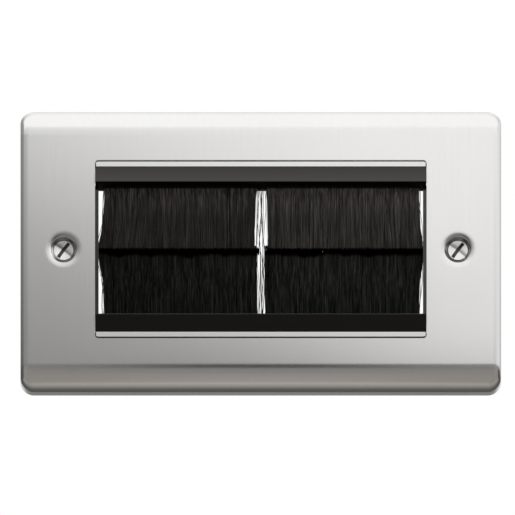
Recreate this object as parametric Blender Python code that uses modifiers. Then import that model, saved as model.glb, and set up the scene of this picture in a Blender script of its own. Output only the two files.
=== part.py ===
"""Brush wall plate: a pressed stainless plate for a double wall box.

Four strip brushes close the cable way behind the plate's window. The object
is modelled lying face up (X right, Y up the wall, Z out of the wall) and an
empty turns it upright, so that in the world the wall is the plane y = 0, the
face looks along -Y and the origin lies midway between the fixing screws.
"""

import math
import random

import bmesh
import bpy

MM = 0.001

# Clearance that every piece keeps to the neighbour it meets
GAP = 0.3 * MM

# Front plate
SCREW_PITCH = 120.6 * MM
SCREW_TO_APERTURE = 9.6 * MM
DISH_TO_BEND = 5.6 * MM
FLAT_BORDER = 8.2 * MM
PLATE_DEPTH = 10.0 * MM
SHEET = 1.2 * MM
PLAN_CORNER_R = 4.2 * MM
APERTURE_R = 1.0 * MM

# Sloping shoulders along the plate's top and bottom, and the tight bend all round it
SHOULDER_W = 7.7 * MM
SHOULDER_BEND_R = 8.0 * MM
SHOULDER_SLOPE = math.radians(20)
EDGE_BEND_R = 2.3 * MM

# Pressed dishes round the fixing screws
DISH_MOUTH_R = 5.3 * MM
DISH_LIP_R = 1.2 * MM
DISH_LIP_START = math.radians(8)
DISH_LIP_END = math.radians(74)
DISH_WALL = 1.08 * MM
DISH_FLOOR = 0.9 * MM

# Fixing screws with raised countersunk heads
HEAD_R = 2.98 * MM
HEAD_SINK = 2.1 * MM
HEAD_DOME = 0.8 * MM
HEAD_EDGE = 0.15 * MM
SHANK_R = 1.75 * MM
SCREW_LENGTH = 25.0 * MM
SCREW_POINT = 0.8 * MM
SLOT_W = 0.8 * MM
SLOT_DEPTH = 0.9 * MM
SLOT_TURN = math.radians(50)

# Retaining washers on the screws, behind the yoke's ears
WASHER_R = 4.0 * MM
WASHER_T = 0.8 * MM

# Yoke: the plated steel frame behind the window
YOKE_SHEET = 1.5 * MM
YOKE_RIM = 8.2 * MM
YOKE_SIDE = 5.2 * MM
YOKE_SIDE_SHOWN = 1.1 * MM
YOKE_CORNER_R = 2.0 * MM
LIP_GAP = 0.5 * MM
LIP_SINK = 0.2 * MM
LIP_CORNER_R = 0.45 * MM
EAR_W = 14.0 * MM
EAR_REACH = 5.7 * MM
EAR_LEG_INSET = 0.3 * MM
EAR_ROOT = 0.5 * MM

# Moulded rails that hold the brushes
MODULE_H = 51.0 * MM
RAIL_H = 5.07 * MM
RAIL_RISE = 2.2 * MM
RAIL_DEPTH = 13.8 * MM
NOSE_R = 0.35 * MM
RAIL_WALL = 1.2 * MM
RAIL_END_GAP = 0.25 * MM
CLIP_REACH = 1.4 * MM
CLIP_T = 1.7 * MM
CLIP_L = 14.0 * MM
CLIP_COUNT = 4

# Strip brushes
BRUSH_SINK = 6.1 * MM
BRUSH_END_GAP = 1.55 * MM
BRUSH_CENTRE_GAP = 2.6 * MM
BRUSH_SHIFT = 0.28 * MM
CHANNEL_W = 4.0 * MM
CHANNEL_H = 3.25 * MM
CHANNEL_WALL = 0.5 * MM
WIRE_R = 0.4 * MM
WIRE_COVER = 0.4 * MM

# Bristles: the upper ones hang in front of the lower ones
UPPER_TIP = 0.8 * MM
LOWER_TIP = 2.4 * MM
TIP_T = 1.8 * MM
BELLY_T = 3.1 * MM
BELLY_LEAN = 0.6 * MM
BELLY_PLACE = 0.62
BELLY_FLARE = 0.2
CROSSING_RUN = 1.2 * MM
CROSSING_FLARE = 0.8
TIP_FLARE = 1.2 * MM
TIP_SCATTER = 0.45 * MM
RIDGE = 0.14 * MM
RIDGE_COUNT = 24

# Earth terminal on the yoke's upper member
EARTH_FROM_END = 14.45 * MM
EARTH_L = 8.0 * MM
EARTH_BLOCK_H = 6.0 * MM
EARTH_BLOCK_T = 6.0 * MM
EARTH_BORE_R = 1.5 * MM
EARTH_BORE_WALL = 0.6 * MM
EARTH_STUB_R = 1.4 * MM
EARTH_SCREW_R = 1.4 * MM
EARTH_HEAD_R = 2.4 * MM
EARTH_HEAD_T = 1.4 * MM
EARTH_SLOT_DEPTH = 0.7 * MM
EARTH_EDGE = 0.3 * MM

# How finely round shapes are divided
TURN_STEPS = 32
BORE_STEPS = 8
CORNER_STEPS = 6
SHOULDER_STEPS = 5
BEND_STEPS = 5
LIP_STEPS = 4
NOSE_STEPS = 4
DOME_STEPS = 4
OVERCUT = 1.0 * MM

# Sizes that follow from those above
plate_w = SCREW_PITCH + 2 * (DISH_MOUTH_R + DISH_TO_BEND + EDGE_BEND_R)
aperture_w = SCREW_PITCH - 2 * SCREW_TO_APERTURE
lip_outer_h = MODULE_H + 2 * (GAP + YOKE_SHEET)
aperture_h = lip_outer_h + 2 * LIP_GAP
plate_h = aperture_h + 2 * (FLAT_BORDER + SHOULDER_W)
shoulder_start = plate_h / 2 - SHOULDER_W
shoulder_bend_w = SHOULDER_BEND_R * math.sin(SHOULDER_SLOPE)
sheet_back = PLATE_DEPTH - SHEET
yoke_front = sheet_back - GAP
yoke_back = yoke_front - YOKE_SHEET
lip_front = PLATE_DEPTH - LIP_SINK
window_w = aperture_w - 2 * YOKE_SIDE_SHOWN
window_h = MODULE_H + 2 * GAP
head_rim = PLATE_DEPTH - HEAD_SINK
head_foot = head_rim - HEAD_EDGE - (HEAD_R - SHANK_R)
hole_r = SHANK_R + GAP
dish_foot = head_foot - GAP - DISH_FLOOR
ear_front = dish_foot - GAP
ear_back = ear_front - YOKE_SHEET
rail_outer = MODULE_H / 2
rail_inner = rail_outer - RAIL_H
nose_front = lip_front + RAIL_RISE
rail_back = nose_front - RAIL_DEPTH
rail_half = aperture_w / 2 - RAIL_END_GAP
channel_front = nose_front - BRUSH_SINK
channel_mid = channel_front - CHANNEL_W / 2
slot_half_w = CHANNEL_W / 2 + GAP
channel_mouth = rail_inner + GAP
channel_top = channel_mouth + CHANNEL_H
brush_half = window_w / 2 - BRUSH_END_GAP
brush_length = brush_half - BRUSH_CENTRE_GAP / 2
root_t = CHANNEL_W - 2 * (CHANNEL_WALL + GAP)
root_top = channel_top - CHANNEL_WALL - GAP
wire_y = root_top - WIRE_COVER - WIRE_R - GAP
earth_x = EARTH_FROM_END - rail_half
earth_y = rail_outer + CLIP_REACH + GAP + EARTH_BLOCK_H / 2
earth_front = yoke_back - GAP
earth_back = earth_front - EARTH_BLOCK_T
half_facet = math.pi / TURN_STEPS

PARTS = "brush_wall_plate"
CUTTERS = "cutters"


def clear_scene():
    """Remove what a new file holds."""
    for item in list(bpy.data.objects):
        bpy.data.objects.remove(item, do_unlink=True)


def make_collection(name):
    """Return a new collection linked to the scene."""
    group = bpy.data.collections.new(name)
    bpy.context.scene.collection.children.link(group)
    return group


def make_material(name, colour, roughness, metallic):
    """Return a Principled material of one colour."""
    material = bpy.data.materials.new(name)
    material.use_nodes = True
    shader = material.node_tree.nodes["Principled BSDF"]
    shader.inputs["Base Color"].default_value = (*colour, 1.0)
    shader.inputs["Roughness"].default_value = roughness
    shader.inputs["Metallic"].default_value = metallic
    return material


def place(name, mesh, material=None, location=(0, 0, 0), rotation=(0, 0, 0)):
    """Make an object under the wall frame: a part if it has a material, else a cutter."""
    item = bpy.data.objects.new(name, mesh)
    item.location = location
    item.rotation_euler = rotation
    item.parent = bpy.data.objects["wall_frame"]
    if material is None:
        bpy.data.collections[CUTTERS].objects.link(item)
        item.hide_render = True
        item.display_type = "WIRE"
    else:
        bpy.data.collections[PARTS].objects.link(item)
        mesh.materials.append(material)
    return item


def rounded_outline(width, height, radius):
    """Points of a rectangle with round corners, anticlockwise."""
    points = []
    for quarter in range(4):
        start = quarter * math.pi / 2
        side_x = 1 if quarter in (0, 3) else -1
        side_y = 1 if quarter in (0, 1) else -1
        centre_x = side_x * (width / 2 - radius)
        centre_y = side_y * (height / 2 - radius)
        for step in range(CORNER_STEPS + 1):
            angle = start + step * math.pi / 2 / CORNER_STEPS
            points.append((centre_x + radius * math.cos(angle), centre_y + radius * math.sin(angle)))
    return points


def box_outline(low, high):
    """Corner points of the rectangle between two corners."""
    return [(low[0], low[1]), (high[0], low[1]), (high[0], high[1]), (low[0], high[1])]


def flat_mesh(name, points, thickness):
    """Mesh of a flat outline, thickened both ways from its plane."""
    curve = bpy.data.curves.new(name, "CURVE")
    curve.dimensions = "2D"
    curve.fill_mode = "BOTH"
    curve.extrude = thickness / 2
    spline = curve.splines.new("POLY")
    spline.points.add(len(points) - 1)
    for slot, (x, y) in zip(spline.points, points):
        slot.co = (x, y, 0.0, 1.0)
    spline.use_cyclic_u = True
    guide = bpy.data.objects.new(name, curve)
    bpy.context.scene.collection.objects.link(guide)
    depsgraph = bpy.context.evaluated_depsgraph_get()
    mesh = bpy.data.meshes.new_from_object(guide.evaluated_get(depsgraph))
    bpy.data.objects.remove(guide, do_unlink=True)
    work = bmesh.new()
    work.from_mesh(mesh)
    bmesh.ops.remove_doubles(work, verts=work.verts, dist=0.001 * MM)
    bmesh.ops.recalc_face_normals(work, faces=work.faces)
    work.to_mesh(mesh)
    work.free()
    mesh.name = name
    return mesh


def plan_solid(name, points, low, high, material=None):
    """Solid with a plan outline in X and Y, between two heights."""
    mesh = flat_mesh(name, points, high - low)
    return place(name, mesh, material, location=(0, 0, (low + high) / 2))


def section_solid(name, points, start, end, material=None):
    """Solid with a section in Y and Z, between two places along X."""
    mesh = flat_mesh(name, points, end - start)
    turn = (math.pi / 2, 0, math.pi / 2)
    return place(name, mesh, material, location=((start + end) / 2, 0, 0), rotation=turn)


def turned_solid(name, profile, closed, material=None, location=(0, 0, 0), rotation=(0, 0, 0)):
    """Solid turned about its own Z from points of radius and height."""
    mesh = bpy.data.meshes.new(name)
    count = len(profile)
    edges = [(index, index + 1) for index in range(count - 1)]
    if closed:
        edges.append((count - 1, 0))
    mesh.from_pydata([(radius, 0.0, height) for radius, height in profile], edges, [])
    item = place(name, mesh, material, location, rotation)
    screw = item.modifiers.new("turn", "SCREW")
    screw.steps = TURN_STEPS
    screw.render_steps = TURN_STEPS
    screw.use_merge_vertices = True
    screw.merge_threshold = 0.001 * MM
    screw.use_smooth_shade = True
    return item


def loft_mesh(name, rings):
    """Closed mesh through rings of points that pair up, capped at both ends."""
    work = bmesh.new()
    loops = [[work.verts.new(point) for point in ring] for ring in rings]
    count = len(loops[0])
    for lower, upper in zip(loops, loops[1:]):
        for index in range(count):
            after = (index + 1) % count
            work.faces.new((lower[index], lower[after], upper[after], upper[index]))
    work.faces.new(loops[0])
    work.faces.new(loops[-1])
    bmesh.ops.recalc_face_normals(work, faces=work.faces)
    mesh = bpy.data.meshes.new(name)
    work.to_mesh(mesh)
    work.free()
    return mesh


def combine(item, cutter, operation):
    """Cut or join a piece with another solid."""
    modifier = item.modifiers.new(cutter.name, "BOOLEAN")
    modifier.operation = operation
    modifier.object = cutter
    modifier.solver = "EXACT"
    return modifier


def shoulder_drop(y):
    """How far the plate's face has fallen at a distance from its middle line."""
    past = abs(y) - shoulder_start
    if past <= 0:
        return 0.0
    if past < shoulder_bend_w:
        return SHOULDER_BEND_R - math.sqrt(SHOULDER_BEND_R ** 2 - past ** 2)
    bend_drop = SHOULDER_BEND_R * (1 - math.cos(SHOULDER_SLOPE))
    return bend_drop + (past - shoulder_bend_w) * math.tan(SHOULDER_SLOPE)


def plate_shell():
    """Open outer skin of the plate, without its window and dishes."""
    rings = []
    for step in range(BEND_STEPS + 1):
        angle = step * math.pi / 2 / BEND_STEPS
        inset = EDGE_BEND_R * (1 - math.sin(angle))
        height = PLATE_DEPTH - EDGE_BEND_R * (1 - math.cos(angle))
        outline = rounded_outline(plate_w - 2 * inset, plate_h - 2 * inset, PLAN_CORNER_R - inset)
        rings.append([(x, y, height) for x, y in outline])
    rings.append([(x, y, 0.0) for x, y in outline])
    mesh = loft_mesh("front_plate", rings)
    work = bmesh.new()
    work.from_mesh(mesh)
    back = [face for face in work.faces if max(vert.co.z for vert in face.verts) == 0.0]
    bmesh.ops.delete(work, geom=back, context="FACES_ONLY")
    for step in range(SHOULDER_STEPS + 1):
        past = SHOULDER_BEND_R * math.sin(SHOULDER_SLOPE * step / SHOULDER_STEPS)
        for side in (-1, 1):
            geometry = list(work.verts) + list(work.edges) + list(work.faces)
            bmesh.ops.bisect_plane(work, geom=geometry, dist=0.001 * MM,
                                   plane_co=(0, side * (shoulder_start + past), 0), plane_no=(0, 1, 0))
    for vert in work.verts:
        if vert.co.z > 0.0:
            vert.co.z -= shoulder_drop(vert.co.y)
    work.to_mesh(mesh)
    work.free()
    return mesh


def dish_profile():
    """Radius and height down the inside of a screw dish, from above the face to below the hole."""
    lip_centre = PLATE_DEPTH - DISH_LIP_R
    points = []
    for step in range(LIP_STEPS + 1):
        angle = DISH_LIP_START + (DISH_LIP_END - DISH_LIP_START) * step / LIP_STEPS
        radius = DISH_MOUTH_R - DISH_LIP_R * math.sin(angle)
        points.append((radius, lip_centre + DISH_LIP_R * math.cos(angle)))
    first_r, first_z = points[0]
    rise = PLATE_DEPTH + GAP - first_z
    flare = rise / math.tan(DISH_LIP_START)
    seat_offset = GAP * math.sqrt(2)
    seat_r = HEAD_R + GAP
    seat_z = head_rim - HEAD_EDGE + seat_r - HEAD_R - seat_offset
    hole_z = seat_z - (seat_r - hole_r)
    low = dish_foot - OVERCUT
    return ([(0.0, PLATE_DEPTH + GAP), (first_r + flare, PLATE_DEPTH + GAP)] + points
            + [(seat_r, seat_z), (hole_r, hole_z), (hole_r, low), (0.0, low)])


def dish_wall_profile():
    """Radius and height down the back of a screw dish, closed on its axis."""
    throat_r = DISH_MOUTH_R - DISH_LIP_R * math.sin(DISH_LIP_END)
    throat_z = PLATE_DEPTH - DISH_LIP_R * (1 - math.cos(DISH_LIP_END))
    seat_r = HEAD_R + GAP
    top = (sheet_back + PLATE_DEPTH) / 2
    return [(0.0, top), (DISH_MOUTH_R + SHEET / 2, top), (throat_r + SHEET, throat_z - SHEET),
            (seat_r + DISH_WALL, head_rim - HEAD_EDGE - GAP), (hole_r + DISH_WALL, dish_foot),
            (0.0, dish_foot)]


def screw_places():
    """Name and X of each fixing screw."""
    return [("left", -SCREW_PITCH / 2), ("right", SCREW_PITCH / 2)]


def make_front_plate(material):
    """Pressed stainless plate with a window and two dished screw holes."""
    plate = place("front_plate", plate_shell(), material)
    wall = plate.modifiers.new("sheet", "SOLIDIFY")
    wall.thickness = SHEET
    wall.offset = -1
    wall.use_even_offset = True
    window = rounded_outline(aperture_w, aperture_h, APERTURE_R)
    cutter = plan_solid("window_cut", window, sheet_back - OVERCUT, PLATE_DEPTH + OVERCUT)
    combine(plate, cutter, "DIFFERENCE")
    for name, x in screw_places():
        boss = turned_solid("dish_wall_" + name, dish_wall_profile(), False, location=(x, 0, 0),
                            rotation=(0, 0, half_facet))
        combine(plate, boss, "UNION")
        void = turned_solid("dish_cut_" + name, dish_profile(), False, location=(x, 0, 0))
        combine(plate, void, "DIFFERENCE")
    return plate


def make_yoke(material):
    """Plated steel frame: a ring, two lips that show in the window and two ears."""
    ring_w = window_w + 2 * YOKE_SIDE
    ring_h = window_h + 2 * YOKE_RIM
    ring = rounded_outline(ring_w, ring_h, YOKE_CORNER_R)
    yoke = plan_solid("yoke_frame", ring, yoke_back, yoke_front, material)
    lip_w = aperture_w - 2 * LIP_GAP
    lips = rounded_outline(lip_w, lip_outer_h, LIP_CORNER_R)
    raised = plan_solid("lip_block", lips, (yoke_back + yoke_front) / 2, lip_front)
    combine(yoke, raised, "UNION")
    side_cut = box_outline((-aperture_w / 2, -window_h / 2), (aperture_w / 2, window_h / 2))
    combine(yoke, plan_solid("lip_side_cut", side_cut, yoke_front, lip_front + OVERCUT), "DIFFERENCE")
    reach = rail_half + GAP
    waist = rail_inner - GAP
    window = [(reach, waist), (reach, window_h / 2), (-reach, window_h / 2), (-reach, waist),
              (-window_w / 2, waist), (-window_w / 2, -waist), (-reach, -waist), (-reach, -window_h / 2),
              (reach, -window_h / 2), (reach, -waist), (window_w / 2, -waist), (window_w / 2, waist)]
    combine(yoke, plan_solid("yoke_window_cut", window, yoke_back - OVERCUT, yoke_front + OVERCUT),
            "DIFFERENCE")
    leg_out = ring_w / 2 - EAR_LEG_INSET
    leg_in = leg_out - YOKE_SHEET
    for name, x in screw_places():
        side = 1 if x > 0 else -1
        ear_end = abs(x) + EAR_REACH
        leg_top = yoke_front - EAR_ROOT
        outline = [(leg_in, ear_back), (ear_end, ear_back), (ear_end, ear_front), (leg_out, ear_front),
                   (leg_out, leg_top), (leg_in, leg_top)]
        mesh = flat_mesh("ear_" + name, [(side * px, pz) for px, pz in outline], EAR_W)
        ear = place("ear_" + name, mesh, rotation=(math.pi / 2, 0, 0))
        combine(yoke, ear, "UNION")
        hole = [(0.0, yoke_front + OVERCUT), (hole_r, yoke_front + OVERCUT), (hole_r, ear_back - OVERCUT),
                (0.0, ear_back - OVERCUT)]
        combine(yoke, turned_solid("ear_hole_" + name, hole, False, location=(x, 0, 0)), "DIFFERENCE")
    stub_hole_r = EARTH_STUB_R + GAP
    stub_hole = [(0.0, yoke_front + OVERCUT), (stub_hole_r, yoke_front + OVERCUT),
                 (stub_hole_r, yoke_back - OVERCUT), (0.0, yoke_back - OVERCUT)]
    cutter = turned_solid("earth_stub_cut", stub_hole, False, location=(earth_x, earth_y, 0))
    combine(yoke, cutter, "DIFFERENCE")
    return yoke


def nose_points(slope):
    """Round edge between a rail's sloping bezel and its inner face."""
    centre_y = rail_inner + NOSE_R
    centre_z = nose_front - NOSE_R * (1 + math.sin(slope)) / math.cos(slope)
    start = math.pi / 2 - slope
    points = []
    for step in range(NOSE_STEPS + 1):
        angle = start + (math.pi - start) * step / NOSE_STEPS
        points.append((centre_y + NOSE_R * math.cos(angle), centre_z + NOSE_R * math.sin(angle)))
    return points


def make_rail(name, side, material):
    """Moulded rail with a sloping bezel, clips behind the yoke and a slot for two brushes."""
    slope = math.atan2(RAIL_RISE, RAIL_H)
    clip_back = yoke_back - GAP - CLIP_T
    outline = [(rail_outer, lip_front)] + nose_points(slope) + [
        (rail_inner, rail_back), (rail_outer, rail_back), (rail_outer, clip_back),
        (rail_outer + CLIP_REACH, clip_back), (rail_outer + CLIP_REACH, yoke_back - GAP),
        (rail_outer, yoke_back - GAP)]
    turned = [(side * y, z) for y, z in outline]
    rail = section_solid(name, turned, -rail_half, rail_half, material)

    def cut(label, low_x, high_x, points):
        solid = section_solid(name + label, [(side * y, z) for y, z in points], low_x, high_x)
        combine(rail, solid, "DIFFERENCE")

    slot = box_outline((rail_inner - OVERCUT, channel_mid - slot_half_w),
                       (channel_top + GAP, channel_mid + slot_half_w))
    slot_half = brush_half + GAP
    cut("_brush_slot", BRUSH_SHIFT - slot_half, BRUSH_SHIFT + slot_half, slot)
    pocket_front = lip_front - RAIL_WALL / math.cos(slope)
    pocket_back = channel_mid + slot_half_w + RAIL_WALL
    floor_y = rail_inner + RAIL_WALL
    pocket_nose = pocket_front + (rail_outer - floor_y) * math.tan(slope)
    pocket = [(rail_outer + OVERCUT / 2, pocket_back), (floor_y, pocket_back), (floor_y, pocket_nose),
              (rail_outer + OVERCUT / 2, pocket_front - OVERCUT / 2 * math.tan(slope))]
    cut("_pocket", RAIL_WALL - rail_half, rail_half - RAIL_WALL, pocket)
    clip_box = box_outline((rail_outer, clip_back - OVERCUT), (rail_outer + CLIP_REACH + OVERCUT, yoke_back))
    spare = (2 * rail_half - CLIP_COUNT * CLIP_L) / CLIP_COUNT
    cut("_clip_cut_0", -rail_half - OVERCUT, -rail_half + spare / 2, clip_box)
    for index in range(1, CLIP_COUNT + 1):
        start = -rail_half - spare / 2 + index * (CLIP_L + spare)
        end = rail_half + OVERCUT if index == CLIP_COUNT else start + spare
        cut("_clip_cut_%d" % index, start, end, clip_box)
    return rail


def make_channel(name, side, start, material):
    """Folded steel channel that grips one brush."""
    low = channel_mid - CHANNEL_W / 2
    high = channel_mid + CHANNEL_W / 2
    wall = CHANNEL_WALL
    outline = [(channel_mouth, low), (channel_top, low), (channel_top, high), (channel_mouth, high),
               (channel_mouth, high - wall), (channel_top - wall, high - wall),
               (channel_top - wall, low + wall), (channel_mouth, low + wall)]
    points = [(side * y, z) for y, z in outline]
    return section_solid(name, points, start, start + brush_length, material)


def make_wire(name, side, start, material):
    """Core wire that the bristles are folded over."""
    curve = bpy.data.curves.new(name, "CURVE")
    curve.dimensions = "3D"
    curve.bevel_depth = WIRE_R
    curve.bevel_resolution = 2
    curve.use_fill_caps = True
    spline = curve.splines.new("POLY")
    spline.points.add(1)
    for slot, x in zip(spline.points, (start, start + brush_length)):
        slot.co = (x, side * wire_y, channel_mid, 1.0)
    return place(name, curve, material)


def bristle_ring(y, low, high, start, end, ridge, scatter):
    """Ring of points round a bristle pack, ridged on its two faces."""
    steps = 2 * RIDGE_COUNT
    front = []
    back = []
    for step in range(steps + 1):
        x = start + (end - start) * step / steps
        wave = ridge if step % 2 else -ridge
        front.append((x, y + scatter[step], high + wave))
        back.append((x, y + scatter[step], low - wave))
    return front + back[::-1]


def make_bristles(name, side, outer_side, start, seed, material):
    """One pack of bristles, folded over its wire and leaning past the opposite pack."""
    end = start + brush_length
    dice = random.Random(seed)
    still = [0.0] * (2 * RIDGE_COUNT + 1)
    scattered = [dice.uniform(0, TIP_SCATTER) * side for _ in still]
    parting = channel_mid
    lean = 1 if side > 0 else -1
    tip_near = parting + lean * GAP / 2
    tip_far = tip_near + lean * TIP_T
    belly_mid = channel_mid + lean * BELLY_LEAN
    tip_y = UPPER_TIP if side > 0 else LOWER_TIP
    crossing_y = side * (LOWER_TIP + CROSSING_RUN)
    flare_left = TIP_FLARE if outer_side < 0 else 0.0
    flare_right = TIP_FLARE if outer_side > 0 else 0.0
    belly_y = side * rail_inner * BELLY_PLACE
    stations = [
        (side * root_top, channel_mid - root_t / 2, channel_mid + root_t / 2, 0.0, 0.0, still),
        (side * rail_inner, channel_mid - root_t / 2, channel_mid + root_t / 2, 0.0, 0.0, still),
        (belly_y, belly_mid - BELLY_T / 2, belly_mid + BELLY_T / 2, BELLY_FLARE, RIDGE, still),
        (crossing_y, min(tip_near, tip_far), max(tip_near, tip_far), CROSSING_FLARE, RIDGE / 2, still),
        (tip_y, min(tip_near, tip_far), max(tip_near, tip_far), 1.0, RIDGE / 2, scattered)]
    rings = []
    for y, low, high, share, ridge, scatter in stations:
        edge_low = low + ridge if lean > 0 else low
        edge_high = high if lean > 0 else high - ridge
        rings.append(bristle_ring(y, edge_low, edge_high, start - flare_left * share,
                                  end + flare_right * share, ridge, scatter))
    pack = place(name, loft_mesh(name, rings), material)
    bore_r = WIRE_R + GAP
    bore = [(0.0, brush_length / 2 + OVERCUT), (bore_r, brush_length / 2 + OVERCUT),
            (bore_r, -brush_length / 2 - OVERCUT), (0.0, -brush_length / 2 - OVERCUT)]
    middle = ((start + end) / 2, side * wire_y, channel_mid)
    cutter = turned_solid(name + "_wire_cut", bore, False, location=middle, rotation=(0, math.pi / 2, 0))
    cutter.modifiers["turn"].steps = BORE_STEPS
    cutter.modifiers["turn"].render_steps = BORE_STEPS
    combine(pack, cutter, "DIFFERENCE")
    return pack


def dome_points(radius, rise, base, steps):
    """Radius and height from the crown of a low dome down to its rim."""
    ball_r = (radius * radius + rise * rise) / (2 * rise)
    reach = math.asin(radius / ball_r)
    points = []
    for step in range(steps + 1):
        angle = reach * step / steps
        points.append((ball_r * math.sin(angle), base + rise - ball_r * (1 - math.cos(angle))))
    return points


def make_fixing_screw(name, x, material):
    """Slotted screw with a raised countersunk head; its thread is left plain."""
    point = head_rim - SCREW_LENGTH
    profile = dome_points(HEAD_R, HEAD_DOME, head_rim, DOME_STEPS) + [
        (HEAD_R, head_rim - HEAD_EDGE), (SHANK_R, head_foot), (SHANK_R, point + SCREW_POINT),
        (SHANK_R - SCREW_POINT, point), (0.0, point)]
    screw = turned_solid(name, profile, False, material, location=(x, 0, 0))
    low = head_rim + HEAD_DOME - SLOT_DEPTH
    half = HEAD_R + OVERCUT
    outline = box_outline((-half, -SLOT_W / 2), (half, SLOT_W / 2))
    slot = plan_solid(name + "_slot", outline, low, head_rim + HEAD_DOME + OVERCUT)
    slot.location.x = x
    slot.rotation_euler = (0, 0, SLOT_TURN)
    combine(screw, slot, "DIFFERENCE")
    return screw


def make_washer(name, x, material):
    """Retaining washer that keeps a fixing screw in the yoke's ear."""
    top = ear_back - GAP
    profile = [(hole_r, top), (WASHER_R, top), (WASHER_R, top - WASHER_T), (hole_r, top - WASHER_T)]
    return turned_solid(name, profile, True, material, location=(x, 0, 0))


def make_earth_terminal(material):
    """Brass block staked to the yoke, bored for a wire and for its clamping screw."""
    low_x = earth_x - EARTH_L / 2
    high_x = earth_x + EARTH_L / 2
    low_y = earth_y - EARTH_BLOCK_H / 2
    high_y = earth_y + EARTH_BLOCK_H / 2
    outline = box_outline((low_x, low_y), (high_x, high_y))
    block = plan_solid("earth_terminal", outline, earth_back, earth_front, material)
    edges = block.modifiers.new("edges", "BEVEL")
    edges.width = EARTH_EDGE
    edges.segments = 2
    stub = [(0.0, yoke_front), (EARTH_STUB_R, yoke_front), (EARTH_STUB_R, earth_front - EARTH_STUB_R),
            (0.0, earth_front - EARTH_STUB_R)]
    combine(block, turned_solid("earth_stub", stub, False, location=(earth_x, earth_y, 0)), "UNION")
    half = EARTH_L / 2 + OVERCUT
    wire = [(0.0, half), (EARTH_BORE_R, half), (EARTH_BORE_R, -half), (0.0, -half)]
    wire_z = earth_front - EARTH_STUB_R - EARTH_BORE_WALL - EARTH_BORE_R
    bore = turned_solid("earth_wire_bore", wire, False, location=(earth_x, earth_y, wire_z),
                        rotation=(0, math.pi / 2, 0))
    combine(block, bore, "DIFFERENCE")
    screw_hole_r = EARTH_SCREW_R + GAP
    hole = [(0.0, wire_z), (screw_hole_r, wire_z), (screw_hole_r, earth_back - OVERCUT),
            (0.0, earth_back - OVERCUT)]
    screw_bore = turned_solid("earth_screw_bore", hole, False, location=(earth_x, earth_y, 0))
    combine(block, screw_bore, "DIFFERENCE")
    return block, wire_z


def make_earth_screw(wire_z, material):
    """Slotted screw that clamps the earth wire from behind."""
    head_top = earth_back - GAP
    head_end = head_top - EARTH_HEAD_T
    profile = [(0.0, wire_z), (EARTH_SCREW_R, wire_z), (EARTH_SCREW_R, head_top), (EARTH_HEAD_R, head_top),
               (EARTH_HEAD_R, head_end + EARTH_EDGE), (EARTH_HEAD_R - EARTH_EDGE, head_end), (0.0, head_end)]
    screw = turned_solid("earth_screw", profile, False, material, location=(earth_x, earth_y, 0))
    half = EARTH_HEAD_R + OVERCUT
    outline = box_outline((earth_x - half, earth_y - SLOT_W / 2), (earth_x + half, earth_y + SLOT_W / 2))
    slot = plan_solid("earth_screw_slot", outline, head_end - OVERCUT, head_end + EARTH_SLOT_DEPTH)
    combine(screw, slot, "DIFFERENCE")
    return screw


def main():
    """Build every piece."""
    clear_scene()
    make_collection(PARTS)
    make_collection(CUTTERS)
    frame = bpy.data.objects.new("wall_frame", None)
    bpy.data.collections[PARTS].objects.link(frame)
    frame.rotation_euler = (math.pi / 2, 0, 0)

    stainless = make_material("brushed_stainless", (0.60, 0.59, 0.57), 0.32, 1.0)
    bright_plate = make_material("bright_plated_steel", (0.80, 0.80, 0.79), 0.25, 1.0)
    nickel = make_material("nickel_plate", (0.74, 0.73, 0.71), 0.28, 1.0)
    moulding = make_material("black_moulding", (0.022, 0.022, 0.020), 0.42, 0.0)
    bristle = make_material("black_bristle", (0.012, 0.012, 0.011), 0.5, 0.0)
    galvanised = make_material("galvanised_strip", (0.55, 0.56, 0.57), 0.4, 1.0)
    spring_wire = make_material("drawn_wire", (0.42, 0.42, 0.42), 0.35, 1.0)
    nylon = make_material("natural_nylon", (0.78, 0.76, 0.70), 0.5, 0.0)
    brass = make_material("brass", (0.80, 0.58, 0.27), 0.3, 1.0)

    make_front_plate(stainless)
    make_yoke(bright_plate)
    make_rail("top_rail", 1, moulding)
    make_rail("bottom_rail", -1, moulding)
    left_start = BRUSH_SHIFT - brush_half
    right_start = BRUSH_SHIFT + BRUSH_CENTRE_GAP / 2
    seed = 1
    for row, side in (("upper", 1), ("lower", -1)):
        for column, outer_side, start in (("left", -1, left_start), ("right", 1, right_start)):
            label = row + "_" + column
            make_channel(label + "_channel", side, start, galvanised)
            make_wire(label + "_core_wire", side, start, spring_wire)
            make_bristles(label + "_bristles", side, outer_side, start, seed, bristle)
            seed += 1
    for column, x in screw_places():
        make_fixing_screw("fixing_screw_" + column, x, nickel)
        make_washer("retaining_washer_" + column, x, nylon)
    _, wire_z = make_earth_terminal(brass)
    make_earth_screw(wire_z, brass)
    bpy.context.view_layer.update()


main()
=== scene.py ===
"""Dressed model of a brush wall plate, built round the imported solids.

The metalwork is modelled lying face up (X right, Y up the wall, Z out of the
wall) and turned upright as it is finished, so that the wall is the plane
y = 0 and the face looks along -Y. All sizes are in metres.
"""

import logging
import math
import random
from dataclasses import dataclass, field
from enum import Enum
from typing import Callable, Iterable, Sequence

import bmesh
import bpy
from mathutils import Matrix, Vector


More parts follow.
